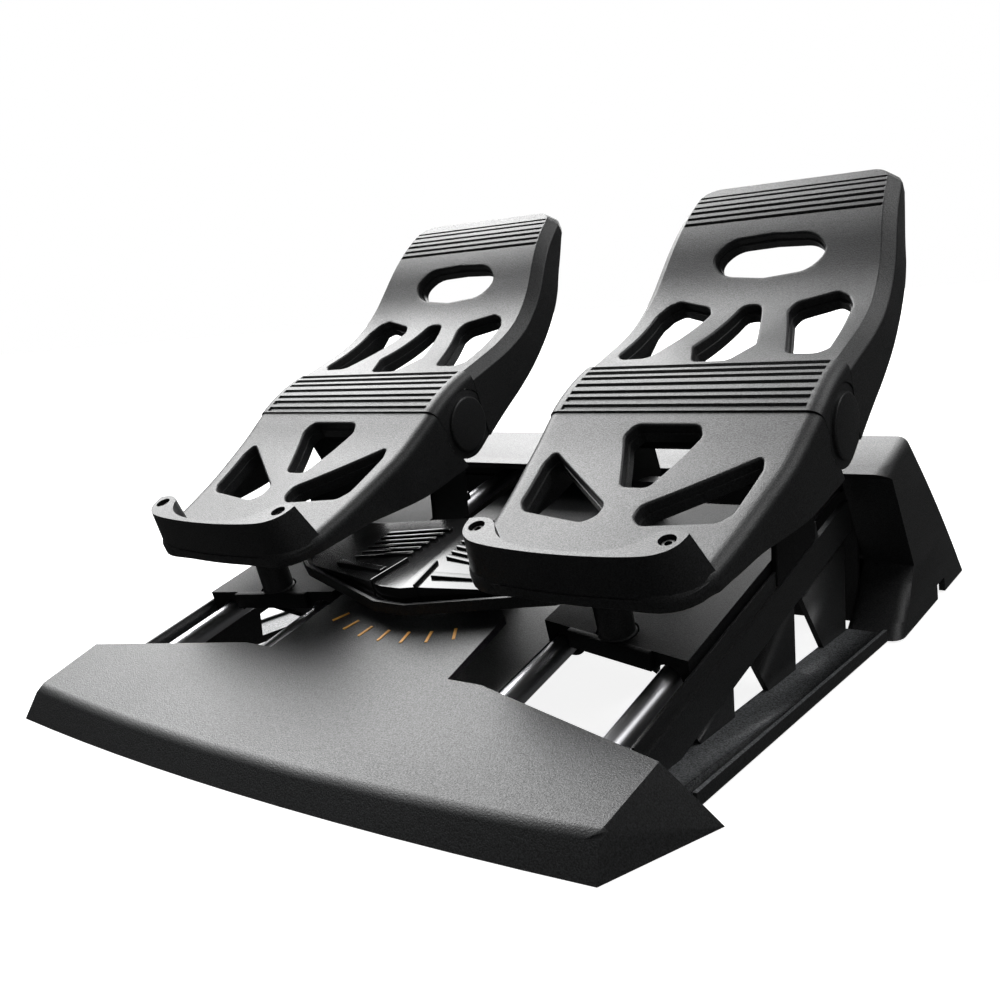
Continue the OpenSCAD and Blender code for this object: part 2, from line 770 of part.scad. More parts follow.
module grooves(from, to, count, lift) {
    for (i = [0:count - 1]) {
        s = from + (to - from) * (i + 0.5) / count;
        at_sole(s) translate([0, 0, lift])
            cube([4 * sole_half_w, groove_w, 2 * groove_d], center = true);
    }
}
plate_steps = 16;
module heel_plate(side) {
    color(dark) at_axle(side) difference() {
        union() {
            difference() {
                plate_shell(0, cover_start - seam, plate_steps, 0);
                along_x(ear_r + seam, 4 * sole_half_w);
                sole_hole(heel_centre_shares, 0.27);
                sole_hole(heel_side_shares, 0.2);
                sole_hole(flip(heel_side_shares), 0.2);
            }
            heel_apron();
            rest_boss();
        }
        heel_screw_holes();
    }
}
// The heel shell runs forward under the heel rest, to the same outline
shell_lip_h = 4.3;
module heel_apron() {
    at_rest() translate([0, 0, -shell_lip_h]) linear_extrude(shell_lip_h) polygon(rest_outer());
}
boss_s = 26;
module rest_boss() {
    at_sole(boss_s) translate([0, 0, -boss_drop]) cylinder(r = post_r_big, h = boss_drop - plate_wall / 2);
}
boss_drop = 8;
rest_screw_x = 38.4;
rest_screw_t = 7.5;
rest_screw_d = 3;
rest_screw_head = 6;
module heel_screw_holes() {
    at_rest() for (x = [-rest_screw_x, rest_screw_x]) translate([x, rest_screw_t, -2 * boss_drop])
        cylinder(r = rest_screw_d / 2 + run_gap, h = 4 * boss_drop);
}

// Toe plate, with ears that reach round the axle
toe_steps = 26;
module ear_outline() {
    circle(r = ear_r);
    a = sole_at(cover_end + ear_r);
    polygon([
        [0, -ear_r], [a[0] + ear_r / 2, a[1] - ear_r], [a[0] + ear_r, a[1] + border_drop / 2],
        [a[0], a[1] - border_drop], [0, 0]
    ]);
}
module toe_plate(side) {
    color(dark) at_axle(side) difference() {
        union() {
            plate_shell(cover_end + seam, sole_len, toe_steps, 0);
            for (end = [-1, 1]) scale_side(end)
                side_slab(ear_in_x, ear_in_x + plate_wall) ear_outline();
        }
        sole_hole(toe_oval_shares, 0.795);
        sole_hole(toe_centre_shares, 0.59);
        sole_hole(toe_side_shares, 0.6);
        sole_hole(flip(toe_side_shares), 0.6);
        grooves(toe_band_start, toe_band_end, toe_grooves, 0);
        along_x(cap_r + seam / 2, 4 * sole_half_w);
    }
}
ear_in_x = sole_half_w + border_w - plate_wall;
module rib_cover(side) {
    color(dark) at_axle(side) difference() {
        intersection() {
            plate_shell(cover_start, cover_end, plate_steps, cover_rise);
            at_sole((cover_start + cover_end) / 2)
                translate([-2 * sole_half_w, -sole_half_w, -cover_skirt])
                    cube([4 * sole_half_w, 2 * sole_half_w, 3 * cover_skirt]);
        }
        grooves(cover_start, cover_end, cover_grooves, cover_rise);
        for (end = [-1, 1]) scale_side(end) translate([ear_in_x - seam + sole_half_w, 0, 0])
            along_x(ear_r + seam, 2 * sole_half_w);
    }
}
cap_t = 2.4;
module hinge_caps(side) {
    color(satin) at_axle(side) for (end = [-1, 1]) scale_side(end)
        translate([ear_in_x + plate_wall / 2, 0, 0]) rotate([0, 90, 0]) difference() {
            cylinder(r = cap_r, h = cap_t);
            translate([0, 0, -cut]) cylinder(r = axle_d / 2 + run_gap, h = cut + cap_t / 4);
        }
}

// Heel rest: a crescent pad with a level top, wrapped round the heel end
rest_seat_s = 11;
rest_half_w = 43;
rest_end_t = 22;
rest_side_t = 9;
rest_nose_t = 8.3;
rest_inner_t = 1;
rest_top_z = 25.7;
rest_h = 26;
rest_steps = 12;
module at_rest() {
    at_sole(rest_seat_s) translate([0, -rest_seat_s, 0]) children();
}
// The corner shares run from the side of the pad round to its nose
rest_corner_shares = [[1, 1], [0.97, 0.72], [0.9, 0.46], [0.8, 0.27], [0.65, 0.14], [0.35, 0.03]];
function rest_front() = [for (c = rest_corner_shares)
    [c[0] * rest_half_w, -rest_nose_t + c[1] * (rest_side_t + rest_nose_t)]];
function rest_outer() = concat(
    [[rest_half_w, rest_end_t]], rest_front(), flip(rest_front()), [[-rest_half_w, rest_end_t]]
);
function rest_inner() = [for (i = [1:rest_steps - 1]) let(x = rest_half_w * (2 * i / rest_steps - 1))
    [x, rest_end_t - bow(x, rest_half_w, rest_end_t + rest_inner_t)]];
module heel_rest(side) {
    color(satin) at_axle(side) difference() {
        at_rest() translate([0, 0, seam]) linear_extrude(rest_h)
            polygon(concat(rest_outer(), rest_inner()));
        translate([-2 * rest_half_w, -axle_front * 4, -rest_top_z])
            cube([4 * rest_half_w, 4 * axle_front, rest_h]);
        heel_screw_holes();
        rest_head_seats(rest_screw_head / 2 + seam);
    }
}
// The screw heads stand in round pockets in the level top
head_depth = 3;
screw_head_t = 2;
module at_head(x) {
    level = -rest_top_z - sole_at(rest_seat_s)[1];
    a = slope_at(rest_seat_s);
    n = (level - (rest_screw_t - rest_seat_s) * sin(a)) / cos(a) - head_depth;
    at_rest() translate([x, rest_screw_t, n]) children();
}
module rest_head_seats(r) {
    for (x = [-rest_screw_x, rest_screw_x]) at_head(x) cylinder(r = r, h = 3 * head_depth);
}
module heel_screws(side) {
    color(steel) at_axle(side) for (x = [-rest_screw_x, rest_screw_x]) at_head(x) {
        translate([0, 0, run_gap]) cylinder(r = rest_screw_head / 2, h = screw_head_t);
        translate([0, 0, -rest_h / 2]) cylinder(r = rest_screw_d / 2, h = rest_h / 2 + screw_head_t);
    }
}

// Inner frame of a pedal: the barrel on the axle and its web
barrel_r = 10;
barrel_half = 29;
bush_outer = 7;
axle_bush_len = 8;
web_half = 7;
module pedal_frame(side) {
    color(black) at_axle(side) difference() {
        union() {
            along_x(barrel_r, 2 * barrel_half);
            translate([-barrel_half, -web_half, 0])
                cube([2 * barrel_half, 2 * web_half, barrel_r + 2 * seam]);
        }
        along_x(bush_outer + run_gap, 4 * barrel_half);
    }
}
module axle_bushes(side) {
    color(brass) at_axle(side) for (end = [-1, 1])
        translate([end * (barrel_half - axle_bush_len / 2), 0, 0]) difference() {
            along_x(bush_outer, axle_bush_len);
            along_x(axle_d / 2 + run_gap, 2 * axle_bush_len);
        }
}
module toe_spring(side) {
    color(steel) at_axle(side) difference() {
        along_x(bush_outer - seam, 2 * (barrel_half - axle_bush_len) - 2 * seam);
        along_x(axle_d / 2 + seam, 2 * barrel_half);
    }
}

// Rocker: a plate with a rim, an inset cover and slots for the link pins
rocker_apex = 57;
rocker_apex_x = 8;
rocker_shoulder_x = 66;
rocker_shoulder = 37;
rocker_end_x = 76;
rocker_end = 30;
rocker_end_back = 8;
rocker_back = 9;
rim_t = 1.6;
slot_gap = 1.3;
slot_half = 7;
module rocker_outline(inset) {
    offset(delta = -inset) polygon([
        [-rocker_apex_x, -rocker_apex], [rocker_apex_x, -rocker_apex],
        [rocker_shoulder_x, -rocker_shoulder], [rocker_end_x, -rocker_end],
        [rocker_end_x, rocker_end_back], [0, rocker_back + rim_t],
        [-rocker_end_x, rocker_end_back], [-rocker_end_x, -rocker_end],
        [-rocker_shoulder_x, -rocker_shoulder]
    ]);
}
module at_pivot() {
    on_rails() translate([0, -pivot_front, 0]) children();
}
module link_slots(low, high) {
    w = link_d + 2 * slot_gap;
    for (side = [-1, 1]) translate([side * link_x, 0, low]) {
        translate([-slot_half, -w / 2, 0]) cube([2 * slot_half, w, high - low]);
    }
}
bush_wall = 2.4;
module rocker_frame() {
    color(black) at_pivot() difference() {
        translate([0, 0, rocker_bottom]) linear_extrude(rocker_rim_h) rocker_outline(0);
        translate([0, 0, rocker_top]) linear_extrude(rocker_rim_h) rocker_outline(rim_t);
        link_slots(rocker_bottom - cut, rocker_top + cut);
        translate([0, 0, rocker_bottom - cut])
            cylinder(r = pivot_d / 2 + bush_wall + run_gap, h = rocker_t + 2 * cut);
    }
}
module rocker_bush() {
    color(brass) at_pivot() translate([0, 0, rocker_bottom]) difference() {
        cylinder(r = pivot_d / 2 + bush_wall, h = rocker_t);
        translate([0, 0, -cut]) cylinder(r = pivot_d / 2 + run_gap, h = rocker_t + 2 * cut);
    }
}
cover_valley = 26;
cover_flank = 29;
cover_edge = 27.5;
cover_flank_x = 45;
cover_steps = 12;
louvre_w = 2.2;
louvre_pitch = 6;
louvre_len = 26;
louvre_count = 5;
function cover_top(x) = let(a = abs(x) / cover_flank_x)
    a < 1 ? cover_valley + (cover_flank - cover_valley) * pow(a, 1.5)
    : cover_flank - (cover_flank - cover_edge) * (abs(x) - cover_flank_x) / (rocker_end_x - cover_flank_x);
module rocker_cover() {
    low = rocker_top;
    color(dark) at_pivot() difference() {
        intersection() {
            translate([0, 0, low]) linear_extrude(cover_flank) rocker_outline(rim_t + seam);
            rotate([90, 0, 0]) translate([0, 0, -rocker_apex]) linear_extrude(2 * rocker_apex + rim_t)
                polygon(concat(
                    [[-rocker_end_x, low]], [[rocker_end_x, low]],
                    [for (i = [cover_steps:-1:-cover_steps])
                        let(x = rocker_end_x * i / cover_steps) [x, cover_top(x)]]
                ));
        }
        for (side = [-1, 1]) for (i = [0:louvre_count - 1])
            translate([side * (cover_flank_x - louvre_len / 2), i * louvre_pitch - louvre_len, cover_valley + 2 * louvre_w])
                cube([louvre_len, louvre_w, 4 * louvre_w], center = true);
        translate([0, 0, low - cut]) {
            cylinder(r = pivot_head_r + seam, h = pivot_head_t + seam + cut + seam);
        }
        link_slots(low - cut, low + 2 * seam);
    }
}

front_deck();
deck_ticks();
side_frame(-1);  // side_frame_left
side_frame(1);  // side_frame_right
rail(-rail_inner_x);  // rail_inner_left
rail(rail_inner_x);  // rail_inner_right
rail(-rail_outer_x);  // rail_outer_left
rail(rail_outer_x);  // rail_outer_right
front_crossbar();
rear_crossbar();
rear_hood();
mouth_panel();
rear_base_plate();
centre_tray();
rocker_axle();
rocker_spring();
rudder_sensor();
circuit_board();
cable_grommet();
rubber_feet();
base_screws();
carriage(-1);  // carriage_left
carriage(1);  // carriage_right
glide_bushes(-1);  // glide_bushes_left
glide_bushes(1);  // glide_bushes_right
upright(-1, false);  // upright_inner_left
upright(1, false);  // upright_inner_right
upright(-1, true);  // upright_outer_left
upright(1, true);  // upright_outer_right
heel_post(-1);  // heel_post_left
heel_post(1);  // heel_post_right
heel_bumper(-1);  // heel_bumper_left
heel_bumper(1);  // heel_bumper_right
pedal_axle(-1);  // pedal_axle_left
pedal_axle(1);  // pedal_axle_right
link_pin(-1);  // link_pin_left
link_pin(1);  // link_pin_right
brake_sensor(-1);  // brake_sensor_left
brake_sensor(1);  // brake_sensor_right
toe_plate(-1);  // toe_plate_left
toe_plate(1);  // toe_plate_right
heel_plate(-1);  // heel_plate_left
heel_plate(1);  // heel_plate_right
rib_cover(-1);  // rib_cover_left
rib_cover(1);  // rib_cover_right
heel_rest(-1);  // heel_rest_left
heel_rest(1);  // heel_rest_right
hinge_caps(-1);  // hinge_caps_left
hinge_caps(1);  // hinge_caps_right
heel_screws(-1);  // heel_screws_left
heel_screws(1);  // heel_screws_right
axle_bushes(-1);  // axle_bushes_left
axle_bushes(1);  // axle_bushes_right
pedal_frame(-1);  // pedal_frame_left
pedal_frame(1);  // pedal_frame_right
toe_spring(-1);  // toe_spring_left
toe_spring(1);  // toe_spring_right
rocker_frame();
rocker_cover();
rocker_bush();
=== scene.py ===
# %% [markdown]
# Rudder pedals for a flight simulator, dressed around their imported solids.
# The solids are already where they belong. Each visible piece is either the solid with a
# better finish, or a finer piece that is modelled here in the same place.
# Drawings are in millimetres, as on the bench; MM turns them into Blender's metres.

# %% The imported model
import json
import math
from collections import Counter

import bmesh
import bpy
from mathutils import Matrix, Vector

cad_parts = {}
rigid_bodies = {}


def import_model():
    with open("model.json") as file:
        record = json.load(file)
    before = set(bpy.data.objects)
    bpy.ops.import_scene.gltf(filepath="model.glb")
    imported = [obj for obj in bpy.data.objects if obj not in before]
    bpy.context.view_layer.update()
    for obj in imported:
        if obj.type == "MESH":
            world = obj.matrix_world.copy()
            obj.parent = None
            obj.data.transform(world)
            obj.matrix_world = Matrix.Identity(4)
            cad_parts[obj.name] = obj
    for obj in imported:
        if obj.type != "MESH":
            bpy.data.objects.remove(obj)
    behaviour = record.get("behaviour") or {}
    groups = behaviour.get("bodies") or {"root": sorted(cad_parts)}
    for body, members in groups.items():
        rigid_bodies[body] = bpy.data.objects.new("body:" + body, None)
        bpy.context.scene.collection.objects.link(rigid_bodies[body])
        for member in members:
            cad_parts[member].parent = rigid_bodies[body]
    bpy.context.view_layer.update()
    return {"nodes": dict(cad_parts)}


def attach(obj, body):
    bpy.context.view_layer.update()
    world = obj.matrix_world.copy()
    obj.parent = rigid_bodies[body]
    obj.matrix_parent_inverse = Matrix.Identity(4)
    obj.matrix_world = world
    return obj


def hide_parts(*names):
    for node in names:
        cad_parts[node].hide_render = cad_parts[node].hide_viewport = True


MM = 0.001
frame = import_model()
nodes = frame["nodes"]

# %% [markdown]
# The camera. Its place and its turn were found from the straight tubes, the deck and the two
# alike pedals, so the render can be laid over the photograph.

# %% Camera
CAMERA_PLACE = Vector((0.2964, -0.4171, 0.1578))
CAMERA_AIM = Vector((-0.5965, 0.7838, -0.1731)).normalized()
CAMERA_ROLL = math.radians(-4.31)
LENS, NEAREST = 40.007, 0.01

level_right = CAMERA_AIM.cross(Vector((0, 0, 1))).normalized()
level_up = level_right.cross(CAMERA_AIM)
right = level_right * math.cos(CAMERA_ROLL) + level_up * math.sin(CAMERA_ROLL)
up = right.cross(CAMERA_AIM)
camera = bpy.data.objects.new("camera", bpy.data.cameras.new("camera"))
bpy.context.scene.collection.objects.link(camera)
camera.data.lens = LENS
camera.data.clip_start = NEAREST
turn = Matrix((right, up, -CAMERA_AIM)).transposed()
camera.matrix_world = Matrix.Translation(CAMERA_PLACE) @ turn.to_4x4()
bpy.context.scene.camera = camera
print("camera at", tuple(round(c, 3) for c in camera.matrix_world.translation))

# %% [markdown]
# Shader maths reads best as plain expressions. A Wire is one output of a node, and the usual
# operators add the Math nodes. A Finish is one material. Its node() makes any other node from
# its type, its settings and what its sockets get.


# %% Wires and finishes
class Wire:
    def __init__(self, finish, socket):
        self.finish = finish
        self.socket = socket

    def math(self, operation, *values):
        return self.finish.node("ShaderNodeMath", {"operation": operation}, dict(enumerate(values)))

    def __add__(self, other):
        return self.math("ADD", self, other)

    def __sub__(self, other):
        return self.math("SUBTRACT", self, other)

    def __rsub__(self, other):
        return self.math("SUBTRACT", other, self)

    def __mul__(self, other):
        return self.math("MULTIPLY", self, other)

    __radd__ = __add__
    __rmul__ = __mul__


class Finish:
    def __init__(self, tree):
        self.tree = tree
        self.tree.nodes.clear()

    def node(self, kind, settings=None, sockets=None, out=0):
        made = self.tree.nodes.new(kind)
        for name, value in (settings or {}).items():
            setattr(made, name, value)
        for name, value in (sockets or {}).items():
            if isinstance(value, Wire):
                self.tree.links.new(value.socket, made.inputs[name])
            else:
                made.inputs[name].default_value = value
        return Wire(self, made.outputs[out]) if len(made.outputs) else made

    def noise(self, scale, detail=2.0, longer=(1, 1, 1), tilt=(0, 0, 0)):
        here = self.node("ShaderNodeTexCoord", out="Object")
        laid = self.node("ShaderNodeMapping", {"vector_type": "TEXTURE"},
                         {"Vector": here, "Scale": longer, "Rotation": tilt})
        return self.node("ShaderNodeTexNoise", None,
                         {"Vector": laid, "Scale": scale, "Detail": detail})

    def blend(self, share, first, second):
        return self.node("ShaderNodeMix", {"data_type": "RGBA"}, {0: share, 6: first, 7: second}, 2)

    def shader(self, height, depth, sockets):
        normal = self.node("ShaderNodeBump", None, {"Distance": depth, "Height": height})
        coated = self.node("ShaderNodeBsdfPrincipled", None, {**sockets, "Normal": normal})
        self.node("ShaderNodeOutputMaterial", None, {0: coated})


def finish(name, make):
    material = bpy.data.materials.new(name)
    material.use_nodes = True
    make(Finish(material.node_tree))
    return material


# %% [markdown]
# The light. The photograph has a white sweep behind the object and a big soft light high
# behind it and to its left, which is why the black plastic gleams on top and stays dark in
# front. One world shader gives it all: a dim room, and six soft lobes of light in the sky.
# The strong ones stand behind on the left, and weak ones fill in from the right and the
# front. The camera alone sees a plain white room instead.


# %% Light and floor
def sky_way(azimuth, elevation):
    a, e = math.radians(azimuth), math.radians(elevation)
    return (math.cos(a) * math.cos(e), math.sin(a) * math.cos(e), math.sin(e))


ROOM, BACKGROUND, WHITE = 0.05, 1.0, (1, 1, 1, 1)
LOBE_CORE = 0.35  # the share of a lobe's half width that is at full strength
LOBES = [  # azimuth from +X, elevation, half width in degrees, strength
    (162, 49, 26, 11.0),
    (134, 28, 23, 4.2),
    (112, 24, 24, 3.6),
    (118, 8, 34, 0.8),
    (36, 55, 27, 2.8),
    (-40, 18, 50, 0.20),
]
world = bpy.data.worlds.new("studio")
bpy.context.scene.world = world
world.use_nodes = True
sky = Finish(world.node_tree)
glow = None
for azimuth, elevation, width, strength in LOBES:
    way = sky.node("ShaderNodeTexCoord", out="Generated")
    facing = sky.node("ShaderNodeVectorMath", {"operation": "DOT_PRODUCT"},
                      {0: way, 1: sky_way(azimuth, elevation)}, "Value")
    lobe = sky.node("ShaderNodeMapRange", {"interpolation_type": "SMOOTHSTEP"},
                    {"Value": facing, "From Min": math.cos(math.radians(width)),
                     "From Max": math.cos(math.radians(width * LOBE_CORE)),
                     "To Min": 0.0, "To Max": strength})
    glow = lobe if glow is None else glow + lobe
room = sky.node("ShaderNodeBackground", None, {"Color": WHITE, "Strength": glow + ROOM})
seen = sky.node("ShaderNodeBackground", None, {"Color": WHITE, "Strength": BACKGROUND})
to_camera = sky.node("ShaderNodeLightPath", out="Is Camera Ray")
mixed = sky.node("ShaderNodeMixShader", None, {0: to_camera, 1: room, 2: seen})
sky.node("ShaderNodeOutputWorld", None, {0: mixed})
bpy.context.scene.view_settings.view_transform = "Standard"

FLOOR_HALF, FLOOR_LEVEL, FLOOR_WHITE, FLOOR_GLOW = 12.0, -0.0002, 0.55, 0.88
floor_mesh = bpy.data.meshes.new("floor")
bm = bmesh.new()
bmesh.ops.create_grid(bm, x_segments=1, y_segments=1, size=FLOOR_HALF)
bmesh.ops.translate(bm, verts=bm.verts, vec=(0, 0, FLOOR_LEVEL))
bm.to_mesh(floor_mesh)
bm.free()
floor = bpy.data.objects.new("floor", floor_mesh)
bpy.context.scene.collection.objects.link(floor)
floor.visible_glossy = False
floor.visible_diffuse = False


def make_floor(f):
    shade = f.noise(2.0) * 0.02 + (FLOOR_WHITE - 0.01)
    f.shader(f.noise(60.0), 0.0001, {"Base Color": shade, "Roughness": 0.7,
                                     "Emission Color": WHITE, "Emission Strength": FLOOR_GLOW})


floor_mesh.materials.append(finish("pale_floor", make_floor))
print("lobes", len(LOBES), "floor", FLOOR_HALF * 2, "m wide")

# %% [markdown]
# The finishes. Injection moulded black plastic is never one flat black. The mould is spark
# eroded, which leaves a fine grain that breaks up the gloss, and the flow of the plastic
# leaves slow, faint changes of gloss. So every plastic here has a fine grain in its bump and
# colour and a slow drift in its roughness; only their amounts differ. The last three have no
# slot of their own. They go on the flats of the side strips, on the dull uprights and
# carriages, and on the glossy cover of the rocker. The strips are black plastic too: the much
# paler tones of their flats are painted light, the light from above that those flats catch.


# %% Moulded plastics and rubber
GRAIN, SPECKLE, SPECKLE_GLOSS = 1900, 3.5, 0.5
DRIFT, DRIFT_GLOSS, MIDDLE_TONE = 14.0, 0.10, 0.45


def tone(value, blue):
    return (value * (1 - blue), value, value * (1 + blue), 1)


def moulded(name, dark, light, gloss, depth, grain=GRAIN, shine=0.5, grit=0.6, blue=0.04):
    def make(f):
        fine, drift = f.noise(grain, 1.0), f.noise(DRIFT, 1.0)
        share = (fine - 0.5) * (SPECKLE * grit) + MIDDLE_TONE
        rough = (drift - 0.5) * DRIFT_GLOSS - (fine - 0.5) * (SPECKLE_GLOSS * grit) + gloss
        f.shader(fine, depth, {"Base Color": f.blend(share, tone(dark, blue), tone(light, blue)),
                               "Roughness": rough, "Specular IOR Level": shine})
    return finish(name, make)


PLASTICS = {  # tones, roughness, depth of the grain; then its scale, shine, grit and blueness
    "pedal_plastic": (0.001, 0.040, 0.43, 0.00010),
    "satin_plastic": (0.002, 0.036, 0.40, 0.00009),
    "deck_plastic": (0.001, 0.040, 0.45, 0.00010),
    "frame_plastic": (0.003, 0.034, 0.43, 0.00006),
    "soft_rubber": (0.006, 0.012, 0.80, 0.00006, GRAIN, 0.5, 0.6, 0),
    # painted light: the strips' flats are black plastic, and these pale tones stand in for light
    # from above
    "strip_plastic": (0.020, 0.260, 0.46, 0.00012),
    "dull_plastic": (0.002, 0.016, 0.50, 0.00006, 2300, 0.16),
    "gloss_plastic": (0.004, 0.010, 0.16, 0.00001, 2600, 0.5, 0.1),
}
FINISHES = {name: moulded(name, *look) for name, look in PLASTICS.items()}
print("plastics and rubber", len(FINISHES))

# %% [markdown]
# The metals. The guide tubes are drawn, so their fine marks run along them. The screws of the
# heel rests are blackened, the axles and the other screws are plain bright steel, and the
# bushes are turned brass.

# %% Metals
RAIL_TILT = math.radians(14.66)
STAIN, MARK_DEPTH = 30.0, 0.00002


def metal(name, dark, light, gloss, grain, longer=(1, 1, 1), tilt=(0, 0, 0)):
    def make(f):
        marks, stain = f.noise(grain, 4.0, longer, tilt), f.noise(STAIN)
        colour = f.blend(marks * 0.7 + stain * 0.3, (*dark, 1), (*light, 1))
        rough = (marks - 0.5) * 0.25 + (stain - 0.5) * 0.1 + gloss
        f.shader(marks, MARK_DEPTH, {"Base Color": colour, "Roughness": rough, "Metallic": 1.0})
    return finish(name, make)


METALS = {  # darkest and lightest marks, roughness, how fine the marks are, and how they run
    "tube_steel": ((0.46, 0.46, 0.48), (0.80, 0.80, 0.82), 0.36, 700, (1, 90, 1),
                   (RAIL_TILT, 0, 0)),
    "black_steel": ((0.02, 0.02, 0.02), (0.06, 0.06, 0.06), 0.30, 1800),
    "plain_steel": ((0.40, 0.41, 0.42), (0.62, 0.62, 0.63), 0.34, 1200),
    "bush_brass": ((0.50, 0.35, 0.14), (0.72, 0.55, 0.26), 0.36, 1500),
}
FINISHES.update({name: metal(name, *look) for name, look in METALS.items()})
print("metals", len(METALS))

# %% [markdown]
# The scale marks are printed, so their ink is thin and a little uneven. The circuit board
# has a green mask over copper tracks, which show as a fine square pattern of two greens.

# %% Ink and circuit board
def make_ink(f):
    patchy = f.noise(1600.0, 3.0)
    colour = f.blend(patchy, (0.62, 0.27, 0.04, 1), (0.95, 0.50, 0.10, 1))
    f.shader(patchy, 0.00002, {"Base Color": colour, "Roughness": patchy * 0.2 + 0.4})


def make_board(f):
    here = f.node("ShaderNodeTexCoord", out="Object")
    tracks = f.node("ShaderNodeTexBrick", {"offset": 0.5},
                    {"Vector": here, "Scale": 160.0, "Mortar Size": 0.05,
                     "Color1": (0.01, 0.10, 0.04, 1), "Color2": (0.01, 0.14, 0.05, 1),
                     "Mortar": (0.03, 0.24, 0.09, 1)})
    bumps = f.noise(900.0)
    f.shader(bumps, 0.00003, {"Base Color": tracks, "Roughness": bumps * 0.2 + 0.25})


FINISHES["scale_orange"] = finish("scale_orange", make_ink)
FINISHES["board_green"] = finish("board_green", make_board)
print("finishes", sorted(FINISHES))

# %% [markdown]
# Every piece ends the same way, so one function does it. It merges doubles, marks the edges
# that stay crisp, adds the finish, puts the piece on the body it rides on and hides the solid
# it stands for. The finish is that of its slot, unless a look is named. pair() makes the same
# piece for both sides. clean_copy() takes a solid's own triangles, merges them into flat
# faces and rounds the edges with bevels, because a real moulding has no knife edge: the thin
# bright line along a rounded edge is what makes it look solid.

# %% Finishing pieces
CRISP, FLAT, ROUND_FROM = (math.radians(angle) for angle in (32, 0.8, 25))
SAME_POINT, SAME_CORNER = 0.000004, 0.00002
SIDES = {"left": -1, "right": 1}
made_pieces = []


def body_of(node):
    return nodes[node].parent.name.removeprefix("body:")


def piece(name, bm, slot, node, look=None):
    bmesh.ops.remove_doubles(bm, verts=bm.verts, dist=SAME_POINT)
    mesh = bpy.data.meshes.new(name)
    bm.to_mesh(mesh)
    bm.free()
    mesh.shade_smooth()
    mesh.set_sharp_from_angle(angle=CRISP)
    made = bpy.data.objects.new(name, mesh)
    bpy.context.scene.collection.objects.link(made)
    mesh.materials.append(FINISHES[look or slot])
    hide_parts(node)
    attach(made, body_of(node))
    made_pieces.append((name, len(mesh.polygons)))
    return made


def pair(name, make, slot, node, look=None):
    """The same piece on both sides. make() is told the side, -1 for left and 1 for right."""
    return [piece(f"{name}_{word}", make(side), slot, f"{node}_{word}", look)
            for word, side in SIDES.items()]


def solid_copy(node):
    bm = bmesh.new()
    bm.from_mesh(nodes[node].data)
    bmesh.ops.remove_doubles(bm, verts=bm.verts, dist=SAME_CORNER)
    bmesh.ops.dissolve_limit(bm, angle_limit=FLAT, verts=bm.verts, edges=bm.edges)
    return bm


def soften(made, width, segments=2):
    rounding = made.modifiers.new("edge_rounding", "BEVEL")
    rounding.width = width * MM
    rounding.segments = segments
    rounding.limit_method = "ANGLE"
    rounding.angle_limit = ROUND_FROM
    rounding.harden_normals = True
    return made


def clean_copy(node, slot, width, look=None):
    soften(piece(node + "_moulded", solid_copy(node), slot, node, look), width)


def both(name):
    return [f"{name}_{word}" for word in SIDES]


# %% [markdown]
# The sole of a pedal is one long bent sheet. It is far easier to draw flat: x runs across the
# pedal, s along its curve, and n out of it. The bend comes last, and takes every point of the
# flat drawing to its place over the axle. These tables give the slope of the sole, its half
# width and the depth of its sides, each against the share of its length.

# %% Sole tables
SOLE_LEN, SOLE_HALF, SKIRT = 264.0, 54.0, 36.5
BORDER, DROP = 5.5, 4.5
AXLE = Vector((90.6, -7.2, 103.2))
SOLE_START = Vector((-106.1, -39.2))
SLOPE = [(0, 22), (0.25, 32), (0.318, 38.5), (0.364, 38), (0.424, 29), (0.485, 20),
         (0.576, 20.5), (0.652, 29.5), (0.72, 44.5), (0.773, 55.5), (0.811, 57.5), (0.856, 52),
         (0.924, 40), (1, 27)]
WIDTH = [(0, 0.796), (0.083, 0.852), (0.178, 0.907), (0.254, 0.963), (0.36, 1), (0.489, 0.996),
         (0.674, 0.981), (0.773, 0.944), (0.871, 0.88), (0.958, 0.833), (1, 0.815)]
DEPTH = [(0, 0.178), (0.061, 0.233), (0.144, 0.356), (0.265, 0.712), (0.364, 1), (0.462, 0.986),
         (0.534, 0.836), (0.61, 0.699), (0.686, 0.575), (0.746, 0.548), (0.803, 0.548),
         (0.898, 0.438), (0.958, 0.247), (1, 0.17)]


def lookup(table, share):
    share = min(max(share, 0.0), 1.0)
    for (a, low), (b, high) in zip(table, table[1:]):
        if share <= b:
            return low + (high - low) * (share - a) / (b - a)
    return table[-1][1]


def eased(table, s, spread=0.02):
    """The table's mean over a short stretch, so the outline has no corners."""
    steps = (-1, -0.5, 0, 0.5, 1)
    return sum(lookup(table, s / SOLE_LEN + k * spread) for k in steps) / len(steps)


def half_at(s):
    return SOLE_HALF * eased(WIDTH, s)


def skirt_at(s):
    return max(SKIRT * eased(DEPTH, s), DROP + 3)


# %% The bend
LINE_STEP, PAST_END = 0.5, 4
line, place, walked = [], SOLE_START.copy(), 0.0
while walked <= SOLE_LEN + PAST_END:
    line.append(place.copy())
    heading = math.radians(lookup(SLOPE, (walked + LINE_STEP / 2) / SOLE_LEN))
    place = place + LINE_STEP * Vector((math.cos(heading), math.sin(heading)))
    walked += LINE_STEP


def over_axle(s, n):
    """Height and reach of a point of the sole, seen from its axle."""
    k = min(max(int(s / LINE_STEP), 0), len(line) - 2)
    on_line = line[k].lerp(line[k + 1], s / LINE_STEP - k)
    a = math.radians(lookup(SLOPE, s / SOLE_LEN))
    return on_line + n * Vector((-math.sin(a), math.cos(a)))


def bent(x, s, n, side):
    p = over_axle(s, n)
    return Vector((side * AXLE.x + x, AXLE.y + p.x, AXLE.z + p.y)) * MM


print("sole ends at", [round(c, 1) for c in line[int(SOLE_LEN / LINE_STEP)]], "from the axle")

# %% [markdown]
# The openings of a sole have straight edges and rounded corners. Each is drawn by its
# corners, and rounded() swaps every corner for a short arc that touches both of its edges.


